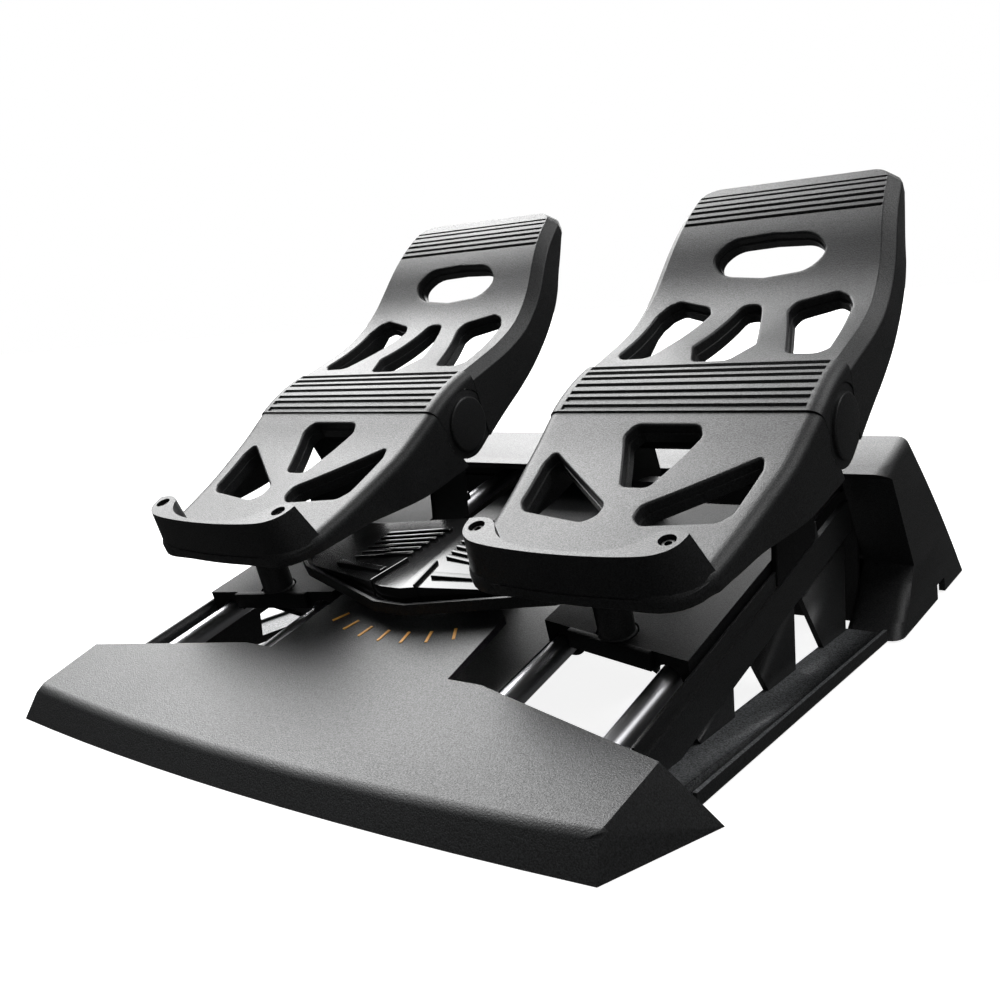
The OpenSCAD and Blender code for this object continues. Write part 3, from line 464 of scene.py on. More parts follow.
# %% Opening outlines
def rounded(corners, radius, steps=5):
    points = []
    count = len(corners)
    for i in range(count):
        here = Vector(corners[i])
        to_last = Vector(corners[i - 1]) - here
        to_next = Vector(corners[(i + 1) % count]) - here
        half = to_last.angle(to_next) / 2
        reach = min(radius / math.tan(half), 0.45 * to_last.length, 0.45 * to_next.length)
        first = here + to_last.normalized() * reach
        last = here + to_next.normalized() * reach
        for k in range(steps + 1):
            t = k / steps
            points.append((1 - t) ** 2 * first + 2 * t * (1 - t) * here + t * t * last)
    return points


def flipped(corners):
    return [(-x, s) for x, s in reversed(corners)]


HEEL_CENTRE = [(14, 88.5), (16.5, 82.6), (5.6, 54.4), (-5.6, 54.4), (-16.5, 82.6), (-14, 88.5)]
HEEL_SIDE = [(44.6, 73), (46.3, 66), (44, 42.6), (40.5, 37.6), (12, 33.2), (7.8, 37.6),
             (7.8, 43.7)]
TOE_OVAL = [(20, 201), (27.6, 210.4), (20, 219.8), (0, 221.4), (-20, 219.8), (-27.6, 210.4),
            (-20, 201), (0, 198.6)]
TOE_CENTRE = [(7.6, 132.6), (14, 148), (4.2, 181.6), (-4.2, 181.6), (-14, 148), (-7.6, 132.6)]
TOE_SIDE = [(31.5, 137.6), (43.6, 136.9), (47.2, 141), (45.2, 178), (42, 184), (37, 187),
            (20.4, 181.4), (18.4, 176.6)]
HEEL_HOLES = [rounded(HEEL_CENTRE, 4), rounded(HEEL_SIDE, 5), rounded(flipped(HEEL_SIDE), 5)]
TOE_HOLES = [rounded(TOE_OVAL, 14, 9), rounded(TOE_CENTRE, 4.5), rounded(TOE_SIDE, 4.5),
             rounded(flipped(TOE_SIDE), 4.5)]
print("openings", len(HEEL_HOLES) + len(TOE_HOLES))

# %% [markdown]
# A flat sheet with openings is filled from its edges alone: the outline and the openings are
# loops of edges, and Blender's triangle fill keeps the openings open. Each opening's edge is
# then extruded down for its wall and bevelled for its soft rim, all while the sheet is flat.
# The cuts, fills and bevels that come back all through this file get their helpers here.


# %% Fill, round and cut
NEAR, TOUCH = 0.01, 0.001
FLAT_DIGITS, BENT_DIGITS = 3, 6  # a micrometre, in millimetres and in metres


def fill(bm, edges, up=1):
    bmesh.ops.triangle_fill(bm, use_beauty=True, use_dissolve=False, edges=edges,
                            normal=(0, 0, up))


def round_edges(bm, edges, width, segments, clamp=True):
    bmesh.ops.bevel(bm, geom=edges, offset=width, offset_type="OFFSET", segments=segments,
                    profile=0.5, affect="EDGES", clamp_overlap=clamp, material=-1)


def everything(bm):
    return bm.verts[:] + bm.edges[:] + bm.faces[:]


def cut(bm, at, way, part=None, near=NEAR):
    """Cuts a drawing, or a part of it, along a plane."""
    bmesh.ops.bisect_plane(bm, geom=everything(bm) if part is None else list(part), dist=near,
                           plane_co=at, plane_no=way)


def in_order(bm, digits):
    """Sorts a drawing by place, so that later cuts and merges go the same way in each run."""
    def place(item):
        points = [item.co] if isinstance(item, bmesh.types.BMVert) else [v.co for v in item.verts]
        return tuple(round(c, digits) for c in sum(points, Vector()) / len(points))

    for items in (bm.verts, bm.edges, bm.faces):
        rank = {item: i for i, item in enumerate(sorted(items, key=place))}
        items.sort(key=rank.get)


def face_out(bm):
    bmesh.ops.recalc_face_normals(bm, faces=bm.faces)


def points_of(edges):
    return {v for e in edges for v in e.verts}


def grow_down(bm, edges, level):
    """Extrudes a loop of edges to a new level, and returns the new loop."""
    grown = bmesh.ops.extrude_edge_only(bm, edges=edges)["geom"]
    fresh = {g for g in grown if isinstance(g, bmesh.types.BMVert)}
    for v in fresh:
        v.co.z = level
    return [g for g in grown if isinstance(g, bmesh.types.BMEdge) and fresh.issuperset(g.verts)]


# %% Flat sheet with openings
def loop(bm, points, notes=()):
    """A closed loop of edges. Notes are (layer, value for each point)."""
    verts = [bm.verts.new((p[0], p[1], 0)) for p in points]
    for layer, values in notes:
        for v, value in zip(verts, values):
            v[layer] = value
    return [bm.edges.new((a, b)) for a, b in zip(verts, verts[1:] + verts[:1])]


def face_up(bm):
    for face in bm.faces:
        face.normal_update()
        if face.normal.z < 0:
            face.normal_flip()


LEDGE = [(0, 4.4), (0.9, 4.6), (0, 9.0)]  # steps of an opening's wall: inwards, depth
RIM = 1.1
NOTES = ("x", "s", "reach_x", "reach_s", "outline")


def near_any(place, points):
    return any((place - Vector(p)).length < TOUCH for p in points)


def flat_sheet(outline, holes):
    bm = bmesh.new()
    layers = [bm.verts.layers.float.new(name) for name in NOTES]
    columns = zip(*[(*point, *reach, 1.0) for point, reach in outline])
    outer = loop(bm, [point for point, reach in outline], list(zip(layers, columns)))
    inner = [e for points in holes for e in loop(bm, points)]
    fill(bm, outer + inner)
    face_up(bm)
    for points in holes:
        centre = sum((Vector(p) for p in points), Vector((0, 0))) / len(points)
        rim = [e for e in inner if all(near_any(v.co.xy, points) for v in e.verts)]
        for inward, depth in LEDGE:
            rim = grow_down(bm, rim, -depth)
            for v in points_of(rim):
                out = v.co.xy - centre
                v.co.xy = centre + out * (1 - inward / out.length)
    if inner:
        rims = [e for e in inner if e.is_valid and len(e.link_faces) == 2]
        round_edges(bm, rims, RIM, 3)
        in_order(bm, FLAT_DIGITS)
    return bm


def cut_rows(bm, places):
    """Cuts the drawing across at each place, so that it can bend there."""
    for at in places:
        cut(bm, (0, at, 0), (0, 1, 0))


# %% [markdown]
# Round the outside of the sheet, the edge is extruded row by row: out and down for the
# border, then down for the side. Every point of the outline remembers where it started and
# how far the border reaches there, so that all rows follow the same outline.

# %% Outlines with their border
CORNER_STEPS = 7


def stations(first, last, step=2.5):
    count = max(2, round((last - first) / step))
    return [first + (last - first) * i / count for i in range(count + 1)]


def corner(at, way, radius, reach):
    """A rounded corner of the right side; way is 1 at the toe and -1 at the heel."""
    if not radius:
        return []
    centre = (half_at(at) - radius, at - way * radius)
    points = []
    for k in range(1, CORNER_STEPS + 1):
        t = math.radians(90 * k / CORNER_STEPS)
        points.append(((centre[0] + radius * math.cos(t), centre[1] + way * radius * math.sin(t)),
                       (BORDER * math.cos(t), way * reach * math.sin(t))))
    return points


def outline_of(first, last, heel=(0, 0), toe=(0, 0)):
    """Points and border reaches; heel and toe are a corner's radius and its reach."""
    right = [((half_at(s), s), (BORDER, 0.0)) for s in stations(first + heel[0], last - toe[0])]
    right = corner(first, -1, *heel)[::-1] + right + corner(last, 1, *toe)
    left = [((-p[0], p[1]), (-r[0], r[1])) for p, r in reversed(right)]
    return right + left


# %% Border rows
SOFT_EDGE = [(math.sin(t), 1 - math.cos(t), 0) for t in (0.26, 0.52, 0.79, 1.05, 1.31, 1.57)]
CRISP_BAND = [(0.05, 0.01, 0), (0.12, 0.07, 0), (0.5, 0.46, 0), (0.88, 0.87, 0), (0.97, 0.98, 0),
              (1.0, 1.1, 0)]


def side_rows(count):
    return [(1.0, 1.0, (i + 1) / count) for i in range(count)]


def extrude_border(bm, rows, open_ends, deepest=None):
    x, s, reach_x, reach_s, outline = (bm.verts.layers.float[name] for name in NOTES)
    edges = [e for e in bm.edges if e.is_boundary and all(v[outline] > 0.99 for v in e.verts)
             and not any(all(abs(v.co.y - end) < TOUCH for v in e.verts) for end in open_ends)]
    for out, fall, depth in rows:
        edges = grow_down(bm, edges, 0)
        for v in points_of(edges):
            side = deepest or skirt_at(v[s])
            v.co = (v[x] + out * v[reach_x], v[s] + out * v[reach_s],
                    -DROP * fall - (side - DROP) * depth)


# %% [markdown]
# Grooves are cut into the flat sheet too: four cuts across mark the sides and the floor of a
# groove, two cuts along mark its ends, and then the floor moves down.


# %% Grooves
GROOVE_DEPTH, GROOVE_END, SKIN = 1.0, 0.4, -0.1  # what lies above SKIN is the sheet's face


def groove_places(first, last, count):
    return [first + (last - first) * (i + 0.5) / count for i in range(count)]


def cut_groove(bm, at, half, end_gap):
    """A groove across the drawing; half of its half width is floor, the rest slopes."""
    cut_rows(bm, (at - half, at - half / 2, at + half / 2, at + half))
    limit = half_at(at) - end_gap
    for x in (-limit, -limit + GROOVE_END, limit - GROOVE_END, limit):
        band = [f for f in bm.faces if abs(f.calc_center_median().y - at) < half
                and f.calc_center_median().z > SKIN]
        part = dict.fromkeys(g for f in band for g in (f, *f.edges, *f.verts))
        cut(bm, (x, 0, 0), (1, 0, 0), part)
    floor_half, floor_end = half / 2 + NEAR, limit - GROOVE_END + NEAR
    for v in bm.verts:
        if abs(v.co.y - at) < floor_half and abs(v.co.x) < floor_end and v.co.z > SKIN:
            v.co.z -= GROOVE_DEPTH


# %% [markdown]
# Now the flat drawing is bent, and what falls within the round of the hinge is cut away: a
# face wholly inside goes, and the points of the others move out onto the circle. Last, the
# sheet gets its wall.


# %% Bend, bite and wall
CLOSE = 0.00001


def from_axle(v):
    return Vector((v.co.y - AXLE.y * MM, v.co.z - AXLE.z * MM))


def bite_hinge(bm, radius):
    inside = {v for v in bm.verts if from_axle(v).length < radius * MM}
    gone = [f for f in bm.faces if inside.issuperset(f.verts)]
    bmesh.ops.delete(bm, geom=gone, context="FACES")
    for v in inside:
        if v.is_valid:
            out = from_axle(v).normalized() * radius * MM
            v.co.y, v.co.z = AXLE.y * MM + out.x, AXLE.z * MM + out.y


def bend_sheet(bm, side, lift=0.0, hinge=0.0):
    for v in bm.verts:
        v.co = bent(v.co.x, v.co.y, v.co.z + lift, side)
    if hinge:
        bite_hinge(bm, hinge)
    in_order(bm, BENT_DIGITS)
    bmesh.ops.remove_doubles(bm, verts=bm.verts, dist=CLOSE)
    bmesh.ops.dissolve_degenerate(bm, edges=bm.edges, dist=CLOSE)
    face_out(bm)
    if sum(f.normal.z * f.calc_area() for f in bm.faces) < 0:
        bmesh.ops.reverse_faces(bm, faces=bm.faces)
    return bm


def add_wall(made, thickness):
    """Gives a bent sheet its wall, with crisp open edges."""
    faces = Counter(key for polygon in made.data.polygons for key in polygon.edge_keys)
    for edge in made.data.edges:
        if faces[edge.key] == 1:
            edge.use_edge_sharp = True
    wall = made.modifiers.new("wall", "SOLIDIFY")
    wall.thickness = thickness * MM
    wall.offset = -1
    return even_light(made)


def even_light(made):
    """Lets the large faces decide how light falls, so flats look flat beside soft edges."""
    weighted = made.modifiers.new("even_light", "WEIGHTED_NORMAL")
    weighted.keep_sharp = True
    weighted.weight = 50
    return made


# %% [markdown]
# Turned parts, such as the round caps, the posts and the screws, are drawn as half a
# section and spun round their axis. A coil is spun too, but it climbs as it turns.


# %% Turned parts and coils
def placed(bm, at):
    """Takes a drawing to its place, and from millimetres to metres."""
    bm.transform(Matrix.Scale(MM, 4) @ at)
    return bm


def spun(profile, at, steps=48):
    bm = bmesh.new()
    verts = [bm.verts.new((r, 0, h)) for r, h in profile]
    edges = [bm.edges.new(ends) for ends in zip(verts, verts[1:])]
    if profile[0][0] and profile[-1][0]:
        edges.append(bm.edges.new((verts[-1], verts[0])))
    bmesh.ops.spin(bm, geom=verts + edges, cent=(0, 0, 0), axis=(0, 0, 1), dvec=(0, 0, 0),
                   angle=math.tau, steps=steps, use_merge=True, use_duplicate=False)
    bmesh.ops.remove_doubles(bm, verts=bm.verts, dist=TOUCH)
    face_out(bm)
    return placed(bm, at)


def coil(radius, wire, turns, length, at, steps=20):
    bm = bmesh.new()
    ring = bmesh.ops.create_circle(bm, segments=8, radius=wire, cap_ends=True)["verts"]
    stand = Matrix.Translation((radius, 0, wire)) @ Matrix.Rotation(math.pi / 2, 4, "X")
    bmesh.ops.transform(bm, verts=ring, matrix=stand)
    count = turns * steps
    bmesh.ops.spin(bm, geom=everything(bm), cent=(0, 0, 0), axis=(0, 0, 1),
                   dvec=(0, 0, (length - 2 * wire) / count), angle=math.tau * turns,
                   steps=count, use_merge=False, use_duplicate=False)
    face_out(bm)
    return placed(bm, at)


def joined(parts):
    whole = bmesh.new()
    for part in parts:
        mesh = bpy.data.meshes.new("part")
        part.to_mesh(mesh)
        part.free()
        whole.from_mesh(mesh)
        bpy.data.meshes.remove(mesh)
    return whole


# %% [markdown]
# Plates, slats and lips are blocks: one flat face, extruded along a way, with every edge
# bevelled a little. The top of a slat has to follow the cover that it stands on, so a block
# may be told the level of each of its upper points.

# %% Blocks
def raise_face(bm, face, way):
    """Extrudes a face along a way, and returns its new points."""
    grown = bmesh.ops.extrude_face_region(bm, geom=[face])["geom"]
    fresh = [g for g in grown if isinstance(g, bmesh.types.BMVert)]
    bmesh.ops.translate(bm, verts=fresh, vec=way)
    return fresh


def block(foot, way, width, at, level=None):
    bm = bmesh.new()
    for v in raise_face(bm, bm.faces.new([bm.verts.new(p) for p in foot]), way):
        v.co.z = level(v.co) if level else v.co.z
    face_out(bm)
    round_edges(bm, bm.edges[:], width, 2)
    return placed(bm, at)


# %% [markdown]
# Many pieces lie on the slanted guide tubes or turn about an axle. RAILS is the frame of the
# tubes, with y along them, and PIVOT is the rocker's place in it.

# %% Shared places
ORIGIN_Y, RAIL_LEVEL, PIVOT_FRONT = 37.5, 58, 85
RAILS = Matrix.Translation((0, ORIGIN_Y, RAIL_LEVEL)) @ Matrix.Rotation(RAIL_TILT, 4, "X")
PIVOT = RAILS @ Matrix.Translation((0, -PIVOT_FRONT, 0))
ALONG_X = Matrix.Rotation(math.pi / 2, 4, "Y")
ALONG_Y = Matrix.Rotation(-math.pi / 2, 4, "X")


def at_axle(side, along=0):
    return Matrix.Translation((side * AXLE.x + along, AXLE.y, AXLE.z))


print("rocker pivot at", [round(c, 1) for c in PIVOT.translation])

# %% [markdown]
# The toe plate: from the hinge to the toe, with four openings, a band of six grooves and a
# crisp slanted border. Its two ears reach down round the axle: each is a flat block whose
# outline runs from the seam round the axle to the side of the plate.

# %% Toe plates
COVER, SEAM, SHELL = (95.6, 128.6), 0.3, 2.4
TOE_FROM, TOE_END, END_REACH, TOE_CORNER = COVER[1] + SEAM, 264.0, 3.4, 7
TOE_BOW, BOW_FROM, BOW_HALF = 4.6, 246, 44
TOE_GROOVES, TOE_GROOVE = (230, 253, 6), (1.0, 0.2)  # from, to, count; half width, end gap
PLAIN_END = 9


def bowed(point, reach):
    """Bows the end of the toe: its corners sit further back than its middle."""
    share = min(max((point[1] - BOW_FROM) / (TOE_END - BOW_FROM), 0), 1)
    return (point[0], point[1] - TOE_BOW * share * (point[0] / BOW_HALF) ** 2), reach


def toe_plate(side):
    last = TOE_END - END_REACH
    outline = outline_of(TOE_FROM, last, toe=(TOE_CORNER, END_REACH))
    bm = flat_sheet([bowed(*spot) for spot in outline], TOE_HOLES)
    extrude_border(bm, CRISP_BAND + side_rows(8), [TOE_FROM])
    cut_rows(bm, stations(TOE_FROM, last - PLAIN_END))
    for at in groove_places(*TOE_GROOVES):
        cut_groove(bm, at, *TOE_GROOVE)
    return bend_sheet(bm, side)


for made in pair("toe_sole", toe_plate, "pedal_plastic", "toe_plate"):
    add_wall(made, SHELL)
print(made_pieces[-2:])

# %% Ears of the toe plates
EAR_R, EAR_X, EAR_STEPS = 16.5, ((-58.9, -56.0), (56.0, 58.9)), 40
EAR_FOOT, EAR_BACK = 134, 136  # places along the sole where the ear meets the plate's side
EAR_ROUND, EAR_INSET, EAR_TUCK = 0.5, 0.4, 2


def ear_outline():
    foot = over_axle(EAR_FOOT, -skirt_at(EAR_FOOT) + EAR_INSET)
    back = over_axle(EAR_BACK, -DROP - EAR_TUCK)
    away = math.atan2(foot.y, foot.x) - math.acos(EAR_R / foot.length)
    deep = next(n / 4 for n in range(160) if over_axle(TOE_FROM, -n / 4).length < EAR_R)
    at_seam = over_axle(TOE_FROM, -deep)
    top = math.atan2(at_seam.y, at_seam.x)
    turns = [top + (away - top) % math.tau * k / EAR_STEPS for k in range(EAR_STEPS + 1)]
    arc = [(EAR_R * math.cos(turn), EAR_R * math.sin(turn)) for turn in turns]
    front = over_axle(TOE_FROM + EAR_INSET, EAR_TUCK - deep)
    return arc + [tuple(foot), tuple(back), tuple(front)]


def ears(side):
    return joined([block([(near, *p) for p in ear_outline()], (far - near, 0, 0), EAR_ROUND,
                         at_axle(side)) for near, far in EAR_X])


pair("toe_ears", ears, "pedal_plastic", "toe_plate")
print(made_pieces[-2:])

# %% [markdown]
# The heel plate: three openings, a soft round border and deep sides that hug the hinge. It
# runs on under the heel rest as a thin lip.

# %% Heel plates
HEEL_REACH, HEEL_CORNER = 3.0, 12
HINGE_R = EAR_R + 0.12  # leaves a fine gap round the ears


def heel_plate(side):
    last = COVER[0] - SEAM
    bm = flat_sheet(outline_of(0, last, heel=(HEEL_CORNER, HEEL_REACH)), HEEL_HOLES)
    extrude_border(bm, SOFT_EDGE + side_rows(12), [last])
    cut_rows(bm, stations(HEEL_CORNER, last))
    return bend_sheet(bm, side, hinge=HINGE_R)


for made in pair("heel_sole", heel_plate, "pedal_plastic", "heel_plate"):
    add_wall(made, SHELL)
print(made_pieces[-2:])

# %% [markdown]
# The cover over the hinge: a short raised sheet with seven grooves, whose sides end in an
# arc round the ear of the toe plate. Light would show through the seams in front of it and
# behind it, so a thin strip lies under each.

# %% Hinge covers
COVER_RISE, COVER_SIDE, COVER_GROOVES, COVER_GROOVE = 0.8, 14.0, 7, (1.5, 0.8)
STRIP_HALF, STRIP_UNDER, STRIP_WALL = 3.5, 0.15, 0.8


def rib_cover(side):
    bm = flat_sheet(outline_of(*COVER), [])
    extrude_border(bm, SOFT_EDGE + side_rows(6), COVER, COVER_SIDE)
    cut_rows(bm, stations(*COVER))
    for at in groove_places(*COVER, COVER_GROOVES):
        cut_groove(bm, at, *COVER_GROOVE)
    return bend_sheet(bm, side, COVER_RISE, HINGE_R)


def seam_strips(side):
    flat = [flat_sheet(outline_of(at - STRIP_HALF, at + STRIP_HALF), []) for at in COVER]
    return joined([bend_sheet(strip, side, -SHELL - STRIP_UNDER) for strip in flat])


for made in pair("hinge_cover", rib_cover, "pedal_plastic", "rib_cover"):
    add_wall(made, SHELL)
for made in pair("seam_strips", seam_strips, "pedal_plastic", "rib_cover"):
    add_wall(made, STRIP_WALL)
print(made_pieces[-4:])

# %% [markdown]
# Round caps close the ends of the axle. Each is turned: a flat middle, a sloping rim that
# catches the light, and a thin shadow gap round it.

# %% Axle caps
CAP_R, CAP_AT = 13.4, 59.2
CAP_PROFILE = [(0, 1.3), (12.0, 1.4), (12.6, 1.25), (12.95, 0.9), (13.05, 0.4), (13.05, -0.1),
               (CAP_R, -0.2), (CAP_R, -1.2), (0, -1.2)]


def caps(side):
    parts = []
    for end in (-1, 1):
        facing = Matrix.Rotation(end * math.pi / 2, 4, "Y")
        parts.append(spun(CAP_PROFILE, at_axle(side, end * CAP_AT) @ facing, 64))
    return joined(parts)


pair("axle_caps", caps, "satin_plastic", "hinge_caps")
print(made_pieces[-2:])

# %% [markdown]
# The heel rest is a crescent wall: two millimetres thick in the middle, wider at its rounded
# ends, which take the screws. It stands square on the sole. Every point of its outline is
# drawn twice, at the top and at the foot, because the foot is a little wider. The top face is
# filled with two round openings for the screws, and the wall is extruded down in rows.

# %% Heel rests
REST_AT = 11
REST_TOP, REST_FOOT = 14.3, -2.2
REST_FRONT = [(44.4, 12.6, 49.2, 14.6), (44.0, 8.5, 47.8, 9.5), (42.2, 4.0, 45.8, 4.8),
              (38, 0.4, 41.5, 0.7), (33, -1.4, 36, -1.8), (21, -3.1, 24, -3.4)]
REST_BACK = [(42.0, 13.6, 44.5, 15.0), (38.4, 14.0, 38.4, 14.6), (34.4, 13.0, 34, 13.4),
             (31.6, 10.4, 31.2, 10.8), (29.4, 7.0, 29.0, 7.3), (26.4, 3.8, 26.4, 4.0),
             (20.5, 0.6, 20.5, 0.8), (12, -1.2, 12, -1.0)]
REST_FRONT_MIDDLE, REST_BACK_MIDDLE = (0, -4.1, 0, -4.4), (0, -1.9, 0, -1.7)
SCREWS = [(-38.4, 8.4), (38.4, 8.4)]
POCKET_R, POCKET_DEPTH, REST_ROUND, REST_ROWS = 3.2, 3.8, 0.5, (0.04, 0.35, 0.7, 1.0)
rest_slope = math.radians(lookup(SLOPE, REST_AT / SOLE_LEN))
rest_base = over_axle(REST_AT, 0)


def rest_point(x, t, n, side):
    y = rest_base.x + (t - REST_AT) * math.cos(rest_slope) - n * math.sin(rest_slope)
    z = rest_base.y + (t - REST_AT) * math.sin(rest_slope) + n * math.cos(rest_slope)
    return Vector((side * AXLE.x + x, AXLE.y + y, AXLE.z + z)) * MM


def chaikin(points, rounds=3):
    """Cuts the corners of an open line until it is a smooth curve."""
    for _ in range(rounds):
        finer = [points[0]]
        for a, b in zip(points, points[1:]):
            finer += [tuple(0.75 * p + 0.25 * q for p, q in zip(a, b)),
                      tuple(0.25 * p + 0.75 * q for p, q in zip(a, b))]
        points = finer + [points[-1]]
    return points


def mirrored(points):
    return [(-x, t, -foot_x, foot_t) for x, t, foot_x, foot_t in reversed(points)]


front_line = chaikin(REST_FRONT + [REST_FRONT_MIDDLE] + mirrored(REST_FRONT))
back_line = chaikin(mirrored(REST_FRONT)[-1:] + mirrored(REST_BACK)[::-1] + [REST_BACK_MIDDLE]
                    + REST_BACK[::-1] + REST_FRONT[:1])
print("heel rest outline", len(front_line), "points in front,", len(back_line), "behind")


def circle_points(x, t, radius, count=20):
    turns = [math.tau * k / count for k in range(count)]
    return [(x + radius * math.cos(turn), t + radius * math.sin(turn)) for turn in turns]


def near_screw(e):
    return all(min((v.co.xy - Vector(s)).length for s in SCREWS) < POCKET_R + 0.1
               for v in e.verts)


def rest_skin():
    """The rest laid flat: its level is 0 on top, 1 in the pockets and -1 at the foot."""
    bm = bmesh.new()
    layers = [bm.verts.layers.float.new(name) for name in ("foot_x", "foot_t")]
    outline = front_line + back_line[1:-1]
    outer = loop(bm, outline, [(layers[0], [p[2] for p in outline]),
                               (layers[1], [p[3] for p in outline])])
    fill(bm, outer + [e for x, t in SCREWS for e in loop(bm, circle_points(x, t, POCKET_R))])
    face_up(bm)
    outer = [e for e in bm.edges if e.is_boundary and not near_screw(e)]
    holes = [e for e in bm.edges if e.is_boundary and near_screw(e)]
    for share in REST_ROWS:
        outer = grow_down(bm, outer, -share)
    fill(bm, outer, -1)
    fill(bm, grow_down(bm, holes, 1))
    return bm, layers


def heel_rest(side):
    bm, (foot_x, foot_t) = rest_skin()
    for v in bm.verts:
        x, t, level = v.co
        if level > 0:
            v.co = rest_point(x, t, REST_TOP - POCKET_DEPTH, side)
            continue
        share = -level
        flare = (v[foot_x] - x, v[foot_t] - t) if share else (0, 0)
        v.co = rest_point(x + flare[0] * share, t + flare[1] * share,
                          REST_TOP + (REST_FOOT - REST_TOP) * share, side)
    face_out(bm)
    up = rest_point(0, 0, 1, side) - rest_point(0, 0, 0, side)
    top = up.dot(rest_point(0, 0, REST_TOP, side))
    rims = [e for e in bm.edges if len(e.link_faces) == 2
            and e.calc_face_angle(0) > math.radians(40)
            and all(abs(up.dot(v.co) - top) < 1e-8 for v in e.verts)]
    round_edges(bm, rims, REST_ROUND * MM, 3)
    return bm


for made in pair("heel_pad", heel_rest, "satin_plastic", "heel_rest"):
    even_light(made)
print(made_pieces[-2:])

# %% [markdown]
# Under the rest the heel plate runs on as a lip with the same outline, a fine seam below it,
# and a short round boss that meets the post on the carriage.

# %% Heel lips
LIP_TOP, LIP_LOW, LIP_BACK, LIP_HALF = -2.45, -6.7, 20, 50.2
LIP_GROW, LIP_FORWARD, LIP_ROUND = 1.012, 0.5, 0.45
BOSS_AT, BOSS = 26, [(0, -1), (8.3, -1), (8.3, -6.6), (7.6, -7.2), (0, -7.2)]


def heel_lip(side):
    bm = bmesh.new()
    foot = [(p[2] * LIP_GROW, p[3] - LIP_FORWARD) for p in front_line]
    corners = [(LIP_HALF, LIP_BACK)] + foot + [(-LIP_HALF, LIP_BACK)]
    face = bm.faces.new([bm.verts.new((x, t, LIP_TOP)) for x, t in corners])
    raise_face(bm, face, (0, 0, LIP_LOW - LIP_TOP))
    face_out(bm)
    sharp = [e for e in bm.edges if e.calc_face_angle(0) > math.radians(50)
             and abs(e.verts[0].co.z - e.verts[1].co.z) < NEAR]
    round_edges(bm, sharp, LIP_ROUND, 3)
    for v in bm.verts:
        v.co = rest_point(v.co.x, v.co.y, v.co.z, side)
    turn = Matrix.Rotation(math.radians(lookup(SLOPE, BOSS_AT / SOLE_LEN)), 4, "X")
    boss = spun(BOSS, Matrix.Translation(bent(0, BOSS_AT, 0, side) / MM) @ turn, 32)
    return joined([bm, boss])


for made in pair("heel_lip", heel_lip, "pedal_plastic", "heel_plate"):
    even_light(made)
print(made_pieces[-2:])

# %% [markdown]
# A socket head screw is turned, and then a six-sided recess is sunk into its head.

# %% Heel screws
HEAD_R, HEAD_T, HEX_R, HEX_DEPTH, HEAD_EDGE = 2.5, 2.0, 1.35, 1.2, 0.35
SHANK_R, SHANK, HEAD_SIDES = 1.5, 13.0, 24


def socket_screw(at):
    bm = bmesh.new()
    head = bmesh.ops.create_circle(bm, segments=HEAD_SIDES, radius=HEAD_R, cap_ends=True)
    raise_face(bm, head["verts"][0].link_faces[0], (0, 0, HEAD_T))
    crown = [f for f in bm.faces
             if len(f.verts) == HEAD_SIDES and f.calc_center_median().z > HEAD_T / 2]
    for wide, deep in ((HEAD_EDGE, 0.3), (HEAD_R - HEAD_EDGE - HEX_R, 0.0), (0.1, -HEX_DEPTH)):
        bmesh.ops.inset_region(bm, faces=crown, thickness=wide, depth=deep, use_even_offset=True)
    bmesh.ops.create_cone(bm, cap_ends=True, segments=16, radius1=SHANK_R, radius2=SHANK_R,
                          depth=SHANK, matrix=Matrix.Translation((0, 0, -SHANK / 2)))
    face_out(bm)
    return placed(bm, at)


def heel_screws(side):
    turn = Matrix.Rotation(rest_slope, 4, "X")
    places = [rest_point(x, t, REST_TOP - POCKET_DEPTH + 0.1, side) / MM for x, t in SCREWS]
    return joined([socket_screw(Matrix.Translation(place) @ turn) for place in places])


pair("heel_socket_screws", heel_screws, "tube_steel", "heel_screws", "black_steel")
print(made_pieces[-2:])

# %% [markdown]
# The guide tubes are turned with a small chamfer on their ends and stay hollow.

# %% Guide tubes
TUBE = [(3.0, -190), (4.2, -190), (4.5, -189.7), (4.5, 53.7), (4.2, 54), (3.0, 54)]
RAIL_X = {"inner": 64.7, "outer": 115.3}
for row, x in RAIL_X.items():
    for word, side in SIDES.items():
        tube = spun(TUBE, RAILS @ Matrix.Translation((side * x, 0, 0)) @ ALONG_Y, 40)
        piece(f"guide_tube_{row}_{word}", tube, "tube_steel", f"rail_{row}_{word}")
print(made_pieces[-4:])

# %% [markdown]
# The posts on the carriages, their rubber pads and the feet under the base are turned too.

# %% Heel posts, pads and feet
POST_AT = 121
POST = [(0, 2.6), (3.0, 2.6), (3.4, 3.0), (3.4, 5.9), (7.5, 5.9), (7.5, 9.9), (7.0, 10.5),
        (7.0, 33.4), (7.9, 34.2), (7.9, 35), (0, 35)]
PAD = [(0, 35), (7.9, 35), (8.2, 35.4), (8.2, 36.8), (6.8, 37.8), (0, 38)]
FOOT = [(0, 0), (6.2, 0), (6.8, 0.25), (6.9, 0.8), (0, 0.8)]
FEET = [(136.75, -154), (136.75, -76.8), (136.75, 0.4), (108, 132)]


def at_post(side):
    return RAILS @ Matrix.Translation((side * AXLE.x, -POST_AT, 0))


pair("post_turned", lambda side: spun(POST, at_post(side)), "frame_plastic", "heel_post")
pair("post_pad", lambda side: spun(PAD, at_post(side)), "soft_rubber", "heel_bumper")
feet = [spun(FOOT, Matrix.Translation((side * x, ORIGIN_Y + y, 0)), 32)
        for side in SIDES.values() for x, y in FEET]
piece("floor_pads", joined(feet), "soft_rubber", "rubber_feet")
print(made_pieces[-5:])

# %% [markdown]
# Two springs: a coil inside each pedal's barrel for the toe brake, and one round the boss
# under the rocker, which brings the pedals back to the middle.

